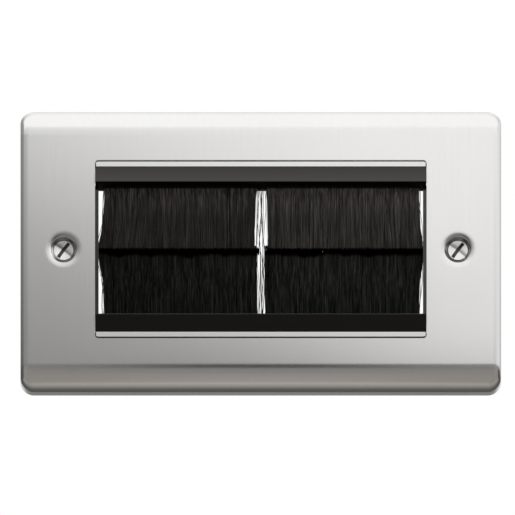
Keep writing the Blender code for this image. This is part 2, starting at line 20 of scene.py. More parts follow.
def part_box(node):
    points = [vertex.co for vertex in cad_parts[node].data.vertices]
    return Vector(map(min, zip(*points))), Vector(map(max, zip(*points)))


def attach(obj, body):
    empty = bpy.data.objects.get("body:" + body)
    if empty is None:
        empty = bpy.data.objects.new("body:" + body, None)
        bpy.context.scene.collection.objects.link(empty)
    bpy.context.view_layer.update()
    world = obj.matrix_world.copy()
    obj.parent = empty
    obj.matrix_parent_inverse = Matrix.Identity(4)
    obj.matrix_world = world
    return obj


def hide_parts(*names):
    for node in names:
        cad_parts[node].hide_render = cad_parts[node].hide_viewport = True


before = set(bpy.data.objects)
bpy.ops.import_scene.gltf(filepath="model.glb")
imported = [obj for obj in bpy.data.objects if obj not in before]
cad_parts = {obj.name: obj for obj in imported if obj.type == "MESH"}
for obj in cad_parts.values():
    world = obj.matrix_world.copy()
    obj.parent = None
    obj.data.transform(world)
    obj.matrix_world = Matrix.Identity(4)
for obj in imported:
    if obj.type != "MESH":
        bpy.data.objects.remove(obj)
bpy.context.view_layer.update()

MM = 0.001
SHARP = math.radians(14)
SOFTENED = math.radians(35)
WELD = 0.0005 * MM
ROOT = "root"
LOG = logging.getLogger("brush_wall_plate")

Mesh = bmesh.types.BMesh
Edge = bmesh.types.BMEdge
Material = bpy.types.Material
Object = bpy.types.Object
Pair = tuple[float, float]
Triple = tuple[float, float, float]


class Side(Enum):
    """Left or right of the window, as X's sign."""

    LEFT = -1
    RIGHT = 1


class Row(Enum):
    """Upper or lower row of brushes, as Z's sign."""

    UPPER = 1
    LOWER = -1


def operator(operation: str, reflected: bool = False) -> Callable[["Value", object], "Value"]:
    """Make one of Value's operators.

    Args:
        operation: the Math node's operation.
        reflected: whether the Value stands to the operator's right.

    Returns:
        The operator's method.
    """
    def apply(value: "Value", other: object) -> "Value":
        """Return the result of one Math node."""
        first, second = (other, value) if reflected else (value, other)
        return value.graph.value("ShaderNodeMath", {"operation": operation}, {0: first, 1: second})
    return apply


class Value:
    """A shader socket that takes part in Python arithmetic."""

    def __init__(self, graph: "Graph", socket: bpy.types.NodeSocket) -> None:
        """Wrap a socket.

        Args:
            graph: the graph that new nodes go to.
            socket: the output that carries the value.
        """
        self.graph = graph
        self.socket = socket

    __add__, __radd__ = operator("ADD"), operator("ADD", True)
    __sub__, __rsub__ = operator("SUBTRACT"), operator("SUBTRACT", True)
    __mul__, __rmul__ = operator("MULTIPLY"), operator("MULTIPLY", True)
    __truediv__, __rtruediv__ = operator("DIVIDE"), operator("DIVIDE", True)
    __pow__, __rpow__ = operator("POWER"), operator("POWER", True)


class Graph:
    """The node graph of one material, or of the world."""

    def __init__(self, name: str, world: bool = False) -> None:
        """Start a material with its Principled shader, or a world with its background.

        Args:
            name: the material's or the world's name.
            world: whether it is a world.
        """
        self.owner = (bpy.data.worlds if world else bpy.data.materials).new(name)
        self.owner.use_nodes = True
        self.tree = self.owner.node_tree
        self.shader = self.tree.nodes["Background" if world else "Principled BSDF"]

    def add(self, kind: str, settings: dict | None = None, inputs: dict | None = None) -> bpy.types.Node:
        """Add a node, set it up and feed its sockets.

        Args:
            kind: the node's type name.
            settings: node properties.
            inputs: socket name or number to a number, a tuple, a socket or a Value.

        Returns:
            The new node.
        """
        node = self.tree.nodes.new(kind)
        for key, value in (settings or {}).items():
            setattr(node, key, value)
        for key, value in (inputs or {}).items():
            self.feed(node.inputs[key], value)
        return node

    def feed(self, socket: bpy.types.NodeSocket, value: object) -> None:
        """Link or set one input socket."""
        if isinstance(value, Value):
            self.tree.links.new(value.socket, socket)
        elif isinstance(value, bpy.types.NodeSocket):
            self.tree.links.new(value, socket)
        else:
            socket.default_value = value

    def value(self, kind: str, settings: dict | None = None, inputs: dict | None = None,
              output: str | int = 0) -> Value:
        """Add a node and return one of its outputs as a Value."""
        return Value(self, self.add(kind, settings, inputs).outputs[output])

    def coordinates(self, scale: Triple = (1, 1, 1), centre: Triple = (0, 0, 0)) -> Value:
        """Object coordinates, measured from a centre and then scaled."""
        place = self.value("ShaderNodeTexCoord", output="Object")
        moved = self.value("ShaderNodeVectorMath", {"operation": "SUBTRACT"}, {0: place, 1: centre})
        return self.value("ShaderNodeVectorMath", {"operation": "MULTIPLY"}, {0: moved, 1: scale})

    def noise(self, scale: Triple | float, detail: float = 2.0, centre: Triple = (0, 0, 0)) -> Value:
        """Noise from 0 to 1, in cells per metre, which may differ from axis to axis."""
        cells = scale if isinstance(scale, tuple) else (scale, scale, scale)
        inputs = {"Vector": self.coordinates(cells, centre), "Scale": 1.0, "Detail": detail,
                  "Roughness": 0.55}
        return self.value("ShaderNodeTexNoise", {}, inputs, "Fac")

    def place(self) -> list[Value]:
        """Object coordinates as three values, X, Y and Z."""
        place = self.value("ShaderNodeTexCoord", output="Object")
        return [Value(self, socket) for socket in self.add("ShaderNodeSeparateXYZ", {}, {0: place}).outputs]

    def stretch(self, value: Value, low: float = 0.3, high: float = 0.7) -> Value:
        """Map a range, by default the middle of a noise, to the range from 0 to 1."""
        inputs = {"Value": value, "From Min": low, "From Max": high}
        return self.value("ShaderNodeMapRange", {"clamp": True}, inputs)

    def mix(self, factor: object, first: Triple | Value, second: Triple | Value) -> Value:
        """Mix two colours by a factor."""
        ends = [(*end, 1.0) if isinstance(end, tuple) else end for end in (first, second)]
        return self.value("ShaderNodeMix", {"data_type": "RGBA"}, {0: factor, 6: ends[0], 7: ends[1]}, 2)

    def shade(self, factor: object, level: float, low: float, high: float, warmth: float = 0.0) -> Value:
        """Mix two shades of one grey, which are given as shares of its level."""
        return self.mix(factor, grey(level * low, warmth), grey(level * high, warmth))

    def bump(self, height: Value, strength: float, distance: float = 0.02 * MM) -> Value:
        """Normal of a bumped surface."""
        inputs = {"Height": height, "Strength": strength, "Distance": distance}
        return self.value("ShaderNodeBump", {}, inputs, "Normal")

    def finish(self, **sockets: object) -> Material | bpy.types.World:
        """Feed the shader's sockets.

        Args:
            **sockets: socket names with underscores for spaces.

        Returns:
            The finished material or world.
        """
        for key, value in sockets.items():
            self.feed(self.shader.inputs[key.replace("_", " ")], value)
        return self.owner


def grey(level: float, warmth: float = 0.0) -> Triple:
    """A linear grey, with a little red gained and blue lost by its warmth."""
    return (level * (1 + warmth), level, level * (1 - warmth))


@dataclass(frozen=True)
class BrushedStainless:
    """Satin stainless steel with fine upright grain, with painted shade round the upper part of each screw
    dish, and in each screw well painted light above and painted shade low down.
    """

    level: float = 0.62
    warmth: float = 0.012
    roughness: float = 0.22
    grain: Triple = (5200.0, 5200.0, 70.0)
    band: Triple = (900.0, 900.0, 30.0)
    cloud: float = 28.0
    screw_x: float = 60.3 * MM
    dish_shade_tone: float = 0.62
    dish_inner: float = 3.9 * MM
    dish_outer: float = 5.4 * MM
    dish_fade: Pair = (-2.2 * MM, 0.8 * MM)
    well_light_level: float = 0.75
    well_shade_level: float = 0.07
    well_outer: float = 4.32 * MM
    well_blend: float = 0.3 * MM
    well_fade: Pair = (0.3 * MM, -2.6 * MM)

    def material(self, name: str) -> Material:
        """Build the material."""
        graph = Graph(name)
        x, _, z = graph.place()
        sign = graph.value("ShaderNodeMath", {"operation": "SIGN"}, {0: x})
        away = x - sign * self.screw_x
        radius = (away * away + z * z) ** 0.5
        # Painted shade round the upper part of each dish, where its wall faces down.
        upper = graph.stretch(away * 0.5 + z * 0.87, *self.dish_fade)
        well = graph.stretch(radius, self.well_outer, self.well_outer - self.well_blend)
        rim = graph.stretch(radius, self.dish_outer, self.dish_inner) * upper
        streak = graph.noise(self.grain, 3.0)
        tone = graph.stretch(streak * 0.5 + graph.noise(self.band) * 0.25 + graph.noise(self.cloud) * 0.25)
        open_face = graph.mix(tone, grey(self.level * 0.965, self.warmth),
                              grey(self.level * 1.035, self.warmth * 0.5))
        # Painted light and shade in each screw well: light higher up, dark low down.
        low = graph.stretch(z + away * sign * 0.5, *self.well_fade)
        wall = graph.mix(low, grey(self.well_light_level, self.warmth), grey(self.well_shade_level, self.warmth))
        pressed = graph.mix(well, open_face, wall)
        colour = graph.mix(rim, pressed, grey(self.level * self.dish_shade_tone, self.warmth * 2))
        rough = self.roughness - 0.03 + 0.06 * streak
        return graph.finish(Base_Color=colour, Metallic=1.0, Roughness=rough,
                            Normal=graph.bump(streak, 0.06), Anisotropic=0.35)


@dataclass(frozen=True)
class BrightPlate:
    """Bright plating on the raised lips, with painted light and shade along and between them; the deeper
    parts of the frame are painted dark as shade, with a painted shadow under the top rail and a painted
    lighter gap above the top lip, and the back is plain plating.
    """

    upper_lip_light: Pair = (0.72, 0.61)
    lower_lip_light: Pair = (0.90, 0.70)
    ends_x: float = 50.0 * MM
    rows_z: float = 10.0 * MM
    painted_shade_level: float = 0.055
    shadow_level: float = 0.002
    shadow_z: float = 18.9 * MM
    shadow_blend: float = 0.3 * MM
    outline_light_level: float = 0.55
    outline_z: float = 27.1 * MM
    outline_blend: float = 0.1 * MM
    lip_depth: float = 8.76 * MM
    back_depth: float = 7.2 * MM
    back_level: float = 0.55
    blend: float = 0.08 * MM
    roughness: float = 0.26

    def material(self, name: str) -> Material:
        """Build the material."""
        graph = Graph(name)
        mottle = graph.stretch(graph.noise(420.0, 3.0))
        roll = graph.noise((60.0, 2600.0, 2600.0))
        x, y, z = graph.place()
        raised = graph.stretch(y * -1, self.lip_depth - self.blend, self.lip_depth + self.blend)
        across = graph.stretch(x + mottle * (2.0 * MM), -self.ends_x, self.ends_x)
        # Painted light and shade on the lips: lighter on the lower lip and towards the left end.
        lips = [graph.mix(across, *map(grey, ends)) for ends in (self.lower_lip_light, self.upper_lip_light)]
        bright = graph.mix(graph.stretch(z, -self.rows_z, self.rows_z), *lips)
        # Painted shade on the deeper frame, with a painted shadow under the top rail and the gap above the
        # top lip painted lighter.
        side = graph.shade(mottle, self.painted_shade_level, 0.85, 1.1)
        deep = graph.stretch(z, self.shadow_z - self.shadow_blend, self.shadow_z)
        outline = graph.stretch(z, self.outline_z - self.outline_blend, self.outline_z)
        dull = graph.mix(outline, graph.mix(deep, side, grey(self.shadow_level)), grey(self.outline_light_level))
        behind = graph.stretch(y * -1, self.back_depth + self.blend, self.back_depth - self.blend)
        plain = graph.shade(mottle, self.back_level, 0.92, 1.06)
        colour = graph.mix(behind, graph.mix(raised, dull, bright), plain)
        return graph.finish(Base_Color=colour, Metallic=1.0, Roughness=self.roughness + 0.06 * roll,
                            Normal=graph.bump(roll * 0.6 + mottle * 0.4, 0.08, 0.03 * MM))


@dataclass(frozen=True)
class TurnedNickel:
    """Nickel plate over a turned face, with fine grooves round the screw's axis, painted light on the
    lower-left half of the head, a painted shaded band beside it and painted shade in the slot.
    """

    centre_x: float = 0.0
    level: float = 0.68
    lit_half_level: float = 0.84
    lit_half_fade: Pair = (0.02 * MM, -0.55 * MM)
    shaded_band_level: float = 0.22
    shaded_band_fade: Pair = (1.3 * MM, 0.1 * MM)
    slot_shade_level: float = 0.055
    slot_fade: Pair = (0.04 * MM, 0.09 * MM)
    slot_turn: float = math.radians(53)
    cup: float = 0.13
    head_r: float = 2.9 * MM
    crown: float = 8.7 * MM
    ball: float = 5.95 * MM
    roughness: float = 0.20
    groove_pitch: float = 0.11 * MM
    groove_depth: float = 0.0036
    wobble_depth: float = 0.002

    def material(self, name: str) -> Material:
        """Build the material."""
        graph = Graph(name)
        centre = (self.centre_x, 0, 0)
        flat = graph.coordinates((1, 0, 1), centre)
        radius = graph.value("ShaderNodeVectorMath", {"operation": "LENGTH"}, {0: flat}, "Value")
        wobble = graph.noise(2500.0, 2.0, centre)
        phase = radius * (math.tau / self.groove_pitch) + wobble * 2.0
        groove = graph.value("ShaderNodeMath", {"operation": "SINE"}, {0: phase})
        x, y, z = graph.place()
        along = (x - self.centre_x) * math.cos(self.slot_turn) + z * math.sin(self.slot_turn)
        surface = (self.ball ** 2 - radius * radius) ** 0.5 + (self.crown - self.ball)
        plain = graph.shade(graph.stretch(wobble), self.level, 0.95, 1.03, 0.01)
        # Painted shade in a band beside the slot's line, and painted light on the lower-left half of the
        # head.
        shaded_band = graph.mix(graph.stretch(along, *self.shaded_band_fade), plain, grey(self.shaded_band_level, 0.01))
        lit_half = graph.mix(graph.stretch(along, *self.lit_half_fade), shaded_band, grey(self.lit_half_level, 0.01))
        sunk = graph.stretch(surface + y, *self.slot_fade)
        slot = sunk * graph.stretch(radius, self.head_r + 0.05 * MM, self.head_r)
        # Painted shade in the slot.
        colour = graph.mix(slot, lit_half, grey(self.slot_shade_level, 0.04))
        millimetres = radius / MM
        hollow = millimetres * millimetres * self.cup
        normal = graph.bump(hollow + groove * self.groove_depth + wobble * self.wobble_depth, 1.0, MM)
        return graph.finish(Base_Color=colour, Metallic=1.0, Roughness=self.roughness + 0.06 * wobble,
                            Normal=normal)


@dataclass(frozen=True)
class BlackMoulding:
    """Black moulded plastic with a fine spark texture and faint flow lines, with painted light towards the
    nose and painted inner faces, dark as shade or light as a highlight.
    """

    level: float = 0.005
    nose_light_level: float = 0.005
    roughness: float = 0.42
    specular: float = 0.32
    tint: tuple[float, float, float, float] = (1.0, 0.96, 0.89, 1.0)
    outer: float = 25.0 * MM
    sill: float = 21.2 * MM
    inner: float = 20.85 * MM
    inner_paint_level: float = 0.0004
    inner_shade_metal: float = 0.9

    def material(self, name: str) -> Material:
        """Build the material."""
        graph = Graph(name)
        spark = graph.noise(5200.0)
        flow = graph.noise((25.0, 420.0, 420.0))
        tone = graph.stretch(flow * 0.6 + spark * 0.4)
        outside = graph.shade(tone, self.level, 0.8, 1.25, 0.03)
        lit_nose = graph.shade(tone, self.nose_light_level, 0.85, 1.15, 0.03)
        z = graph.place()[2]
        # Painted light on the face towards the nose.
        colour = graph.mix(graph.stretch(z * z, self.outer ** 2, self.sill ** 2), outside, lit_nose)
        # Painted inner faces: black as painted shade, with Metallic taking off their reflection, or lighter
        # as a painted highlight.
        painted_inner = graph.stretch(z * z, self.inner ** 2, (self.inner - 0.25 * MM) ** 2)
        return graph.finish(Base_Color=graph.mix(painted_inner, colour, grey(self.inner_paint_level)),
                            Roughness=self.roughness - 0.04 + 0.10 * flow + 0.5 * painted_inner,
                            Normal=graph.bump(spark, 0.16), Metallic=painted_inner * self.inner_shade_metal,
                            Specular_IOR_Level=self.specular, Specular_Tint=self.tint)


@dataclass(frozen=True)
class BlackFilament:
    """Black crimped filament whose tone changes from strand to strand, with painted light towards the
    roots, painted shadow under the rail's mouth and where the upper tips shade the lower pack, and painted
    shade near the inner edge.
    """

    level: float = 0.010
    root_light_gain: float = 1.0
    specular: float = 0.3
    inner_shade: float = 0.1
    warmth: float = 0.1
    sheen: tuple[float, float, float, float] = (1.0, 0.97, 0.88, 1.0)
    roughness: float = 0.45
    strand: Triple = (2900.0, 2900.0, 90.0)
    lock: Triple = (1300.0, 1300.0, 60.0)
    tuft: Triple = (330.0, 330.0, 40.0)
    root_z: float = 20.0 * MM
    mouth: Pair = (19.75 * MM, 20.1 * MM)
    sag: float = 5.0 * MM
    fray: float = 1.2 * MM
    parting_top: Pair = (1.35 * MM, 0.85 * MM)
    parting_foot: Pair = (-1.2 * MM, -0.2 * MM)
    inner_x: Pair = (11.0 * MM, 3.0 * MM)

    def material(self, name: str) -> Material:
        """Build the material."""
        graph = Graph(name)
        strand = graph.noise(self.strand)
        lock = graph.noise(self.lock, 1.0)
        tuft = graph.noise(self.tuft, 1.0)
        tone = graph.stretch(strand * 0.62 + lock * 0.25 + tuft * 0.13, 0.39, 0.61) ** 1.3
        x, _, z = graph.place()
        # Painted light: lighter towards the roots.
        root_light = graph.stretch(z * z, 0.0, self.root_z ** 2) ** 2.0
        tips, roots = (graph.shade(tone, level, 0.15, 2.4, self.warmth)
                       for level in (self.level, self.level * self.root_light_gain))
        # Painted shadow under the rail's mouth and at the parting between the rows.
        rail_shadow = graph.stretch(z * z, self.mouth[0] ** 2, self.mouth[1] ** 2)
        sag = graph.noise((110.0, 0.0, 0.0)) * self.sag - self.sag / 2
        fray = graph.noise((900.0, 0.0, 0.0)) * self.fray - self.fray / 2
        parting_shadow = graph.stretch(z + fray, *self.parting_top) * graph.stretch(z + sag, *self.parting_foot)
        painted_shadow = rail_shadow + parting_shadow - rail_shadow * parting_shadow
        # Painted shade near the inner edge and at the parting, as Metallic over a black colour.
        near = graph.stretch((x * x) ** 0.5 + z * 0.3, *self.inner_x) * self.inner_shade
        sunk = near + parting_shadow * 0.9 - near * parting_shadow * 0.9
        colour = graph.mix(painted_shadow, graph.mix(root_light, tips, roots), grey(0.0006))
        return graph.finish(Base_Color=colour, Roughness=self.roughness + 0.14 * strand + 0.5 * parting_shadow,
                            Normal=graph.bump(graph.noise(1500.0, 1.0), 0.1), Metallic=sunk,
                            Specular_IOR_Level=self.specular, Specular_Tint=self.sheen)


@dataclass(frozen=True)
class GalvanisedStrip:
    """Galvanised strip with small spangles."""

    level: float = 0.55
    roughness: float = 0.38

    def material(self, name: str) -> Material:
        """Build the material."""
        graph = Graph(name)
        cells = {"Vector": graph.coordinates(), "Scale": 900.0}
        spangle = graph.value("ShaderNodeTexVoronoi", {}, cells, "Color")
        tone = graph.value("ShaderNodeRGBToBW", {}, {0: spangle})
        return graph.finish(Base_Color=graph.shade(tone, self.level, 0.82, 1.12, -0.02), Metallic=1.0,
                            Roughness=self.roughness + 0.12 * tone, Normal=graph.bump(tone, 0.08))


@dataclass(frozen=True)
class DrawnWire:
    """Drawn steel wire with lines along its length."""

    level: float = 0.42
    roughness: float = 0.34

    def material(self, name: str) -> Material:
        """Build the material."""
        graph = Graph(name)
        line = graph.noise((60.0, 9000.0, 9000.0))
        return graph.finish(Base_Color=graph.shade(line, self.level, 0.85, 1.15), Metallic=1.0,
                            Roughness=self.roughness + 0.1 * line, Normal=graph.bump(line, 0.12))


@dataclass(frozen=True)
class NaturalNylon:
    """Milky moulded nylon."""

    level: float = 0.72
    roughness: float = 0.46

    def material(self, name: str) -> Material:
        """Build the material."""
        graph = Graph(name)
        cloud = graph.noise(700.0, 3.0)
        colour = graph.mix(cloud, grey(self.level * 0.92, 0.05), grey(self.level * 1.05, 0.04))
        return graph.finish(Base_Color=colour, Roughness=self.roughness + 0.1 * cloud,
                            Normal=graph.bump(cloud, 0.1, 0.03 * MM))


@dataclass(frozen=True)
class MachinedBrass:
    """Brass with fine cutter lines."""

    bright: Triple = (0.83, 0.61, 0.30)
    dull: Triple = (0.70, 0.48, 0.21)
    roughness: float = 0.28

    def material(self, name: str) -> Material:
        """Build the material."""
        graph = Graph(name)
        line = graph.noise((120.0, 6000.0, 6000.0))
        tarnish = graph.noise(350.0, 3.0)
        colour = graph.mix(graph.stretch(tarnish, 0.35, 0.7), self.bright, self.dull)
        return graph.finish(Base_Color=colour, Metallic=1.0, Roughness=self.roughness + 0.14 * tarnish,
                            Normal=graph.bump(line, 0.14))


@dataclass(frozen=True)
class PaleFloor:
    """Pale matt floor with a faint grain."""

    level: float = 0.80

    def material(self, name: str) -> Material:
        """Build the material."""
        graph = Graph(name)
        return graph.finish(Base_Color=graph.shade(graph.noise(60.0, 3.0), self.level, 0.985, 1.01),
                            Roughness=0.85)


def link_mesh(name: str, work: Mesh, material: Material | None = None) -> Object:
    """Put a working mesh into the scene.

    Args:
        name: the new object's name.
        work: the working mesh, which is freed.
        material: its finish.

    Returns:
        The new object.
    """
    mesh = bpy.data.meshes.new(name)
    work.to_mesh(mesh)
    work.free()
    if material:
        mesh.materials.append(material)
    item = bpy.data.objects.new(name, mesh)
    bpy.context.scene.collection.objects.link(item)
    return item


def modify(item: Object, kind: str, **settings: object) -> None:
    """Give an object a modifier with its settings."""
    modifier = item.modifiers.new(kind.lower(), kind)
    for key, value in settings.items():
        setattr(modifier, key, value)


def finish_mesh(item: Object) -> None:
    """Apply an object's modifiers to its mesh."""
    depsgraph = bpy.context.evaluated_depsgraph_get()
    mesh = bpy.data.meshes.new_from_object(item.evaluated_get(depsgraph), depsgraph=depsgraph)
    item.modifiers.clear()
    item.data = mesh


def put_upright(work: Mesh) -> None:
    """Turn what was modelled lying face up to stand against the wall."""
    bmesh.ops.rotate(work, cent=(0, 0, 0), matrix=Matrix.Rotation(math.pi / 2, 3, "X"), verts=work.verts)


def merged_copy(node: str) -> Mesh:
    """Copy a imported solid, weld its triangles and take out the lines across its flats."""
    work = bmesh.new()
    work.from_mesh(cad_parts[node].data)
    bmesh.ops.remove_doubles(work, verts=work.verts, dist=4 * WELD)
    bmesh.ops.dissolve_limit(work, angle_limit=math.radians(0.5), verts=work.verts, edges=work.edges,
                             use_dissolve_boundaries=False)
    return work


def spread(work: Mesh, axis: int, start: float, end: float, front: float = 0.0) -> Mesh:
    """Move the two ends of a solid outwards.

    Args:
        work: the working mesh.
        axis: 0 for the ends along X, 2 for those along Z.
        start: distance from the middle past which points move.
        end: distance that they move to.
        front: how far out of the wall a point has to be to move.

    Returns:
        The working mesh.
    """
    for vert in work.verts:
        if start < abs(vert.co[axis]) < end and -vert.co.y >= front:
            vert.co[axis] = math.copysign(end, vert.co[axis])
    return work


@dataclass
class Assembly:
    """What every sub-assembly shares: turning a working mesh into a dressed piece."""

    made: list[Object] = field(default_factory=list, init=False)

    def add_piece(self, name: str, work: Mesh, material: Material, node: str, slot: str, edge: float = 0.0,
                  sheet: float = 0.0, cutter: Object | None = None) -> Object:
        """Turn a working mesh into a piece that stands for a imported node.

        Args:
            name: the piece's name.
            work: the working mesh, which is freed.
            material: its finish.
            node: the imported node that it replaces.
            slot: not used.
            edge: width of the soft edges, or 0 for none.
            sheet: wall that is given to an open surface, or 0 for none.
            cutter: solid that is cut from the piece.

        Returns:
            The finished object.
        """
        item = link_mesh(name, work, material)
        item.data.shade_smooth()
        if sheet:
            modify(item, "SOLIDIFY", thickness=sheet, offset=-1, use_even_offset=True)
        if cutter:
            modify(item, "BOOLEAN", object=cutter, operation="DIFFERENCE", solver="EXACT")
        if edge:
            modify(item, "BEVEL", width=edge, segments=2, limit_method="ANGLE", angle_limit=SOFTENED,
                   use_clamp_overlap=True)
        if item.modifiers:
            finish_mesh(item)
        item.data.set_sharp_from_angle(angle=SHARP)
        if cutter:
            bpy.data.objects.remove(cutter, do_unlink=True)
        return self.dress(item, node, slot)

    def dress(self, item: Object, node: str, slot: str) -> Object:
        """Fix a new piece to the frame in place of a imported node."""
        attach(item, ROOT)
        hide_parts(node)
        self.made.append(item)
        return item

    def keep_node(self, node: str, material: Material) -> None:
        """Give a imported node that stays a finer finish."""
        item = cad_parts[node]
        for slot in item.material_slots:
            slot.material = material
        self.made.append(item)

    def report(self) -> None:
        """Log each piece."""
        for item in self.made:
            count = sum(len(face.vertices) - 2 for face in item.data.polygons) if item.type == "MESH" else 0
            LOG.info("%s: %s, %d triangles", type(self).__name__, item.name, count)


@dataclass(frozen=True)
class Station:
    """A rectangle with round corners at one height above the wall."""

    half_w: float
    half_h: float
    radius: float
    height: float

    def carry(self, point: Vector, target: "Station") -> Vector:
        """Move a point of this outline to the same place on another one."""
        share_x = (abs(point.x) - self.half_w + self.radius) / self.radius
        share_y = (abs(point.y) - self.half_h + self.radius) / self.radius
        x = math.copysign(target.half_w - target.radius * (1 - share_x), point.x)
        y = math.copysign(target.half_h - target.radius * (1 - share_y), point.y)
        return Vector((x, y, target.height))


def rounded_loop(work: Mesh, station: Station, segments: int) -> list[Edge]:
    """Add the outline of a rectangle with round corners.

    Args:
        work: the working mesh.
        station: the outline's size and height.
        segments: divisions of each corner.

    Returns:
        The outline's edges.
    """
    grid = bmesh.ops.create_grid(work, x_segments=1, y_segments=1, size=1.0)
    corners = grid["verts"]
    bmesh.ops.scale(work, vec=(station.half_w, station.half_h, 1.0), verts=corners)
    bmesh.ops.translate(work, vec=(0, 0, station.height), verts=corners)
    made = bmesh.ops.bevel(work, geom=corners, affect="VERTICES", offset=station.radius,
                           offset_type="OFFSET", segments=segments, profile=0.5, material=-1)
    faces = {face for vert in made["verts"] for face in vert.link_faces}
    edges = list({edge for face in faces for edge in face.edges})
    bmesh.ops.delete(work, geom=list(faces), context="FACES_ONLY")
    return edges


def round_loop(work: Mesh, centre: Vector, radius: float, segments: int) -> list[Edge]:
    """Add a circle's edges round a centre."""
    made = bmesh.ops.create_circle(work, cap_ends=False, radius=radius, segments=segments)
    bmesh.ops.translate(work, vec=centre, verts=made["verts"])
    return list({edge for vert in made["verts"] for edge in vert.link_edges})


def draw_on(work: Mesh, edges: Iterable[Edge],
            mover: Callable[[Vector], Vector]) -> list[Edge]:
    """Extrude a loop of edges and move the new loop.

    Args:
        work: the working mesh.
        edges: the loop.
        mover: gives each new point its place.

    Returns:
        The new loop's edges.
    """
    made = bmesh.ops.extrude_edge_only(work, edges=list(edges))["geom"]
    points = [item for item in made if isinstance(item, bmesh.types.BMVert)]
    for point in points:
        point.co = mover(point.co)
    moved = set(points)
    return [item for item in made if isinstance(item, Edge) and set(item.verts) <= moved]


def ring_mover(centre: Vector, radius: float, height: float) -> Callable[[Vector], Vector]:
    """Give the function that sets a point at a radius round a centre, and at a height."""
    def mover(point: Vector) -> Vector:
        """Move one point."""
        away = Vector((point.x - centre.x, point.y - centre.y, 0)).normalized()
        return Vector((centre.x + away.x * radius, centre.y + away.y * radius, height))
    return mover


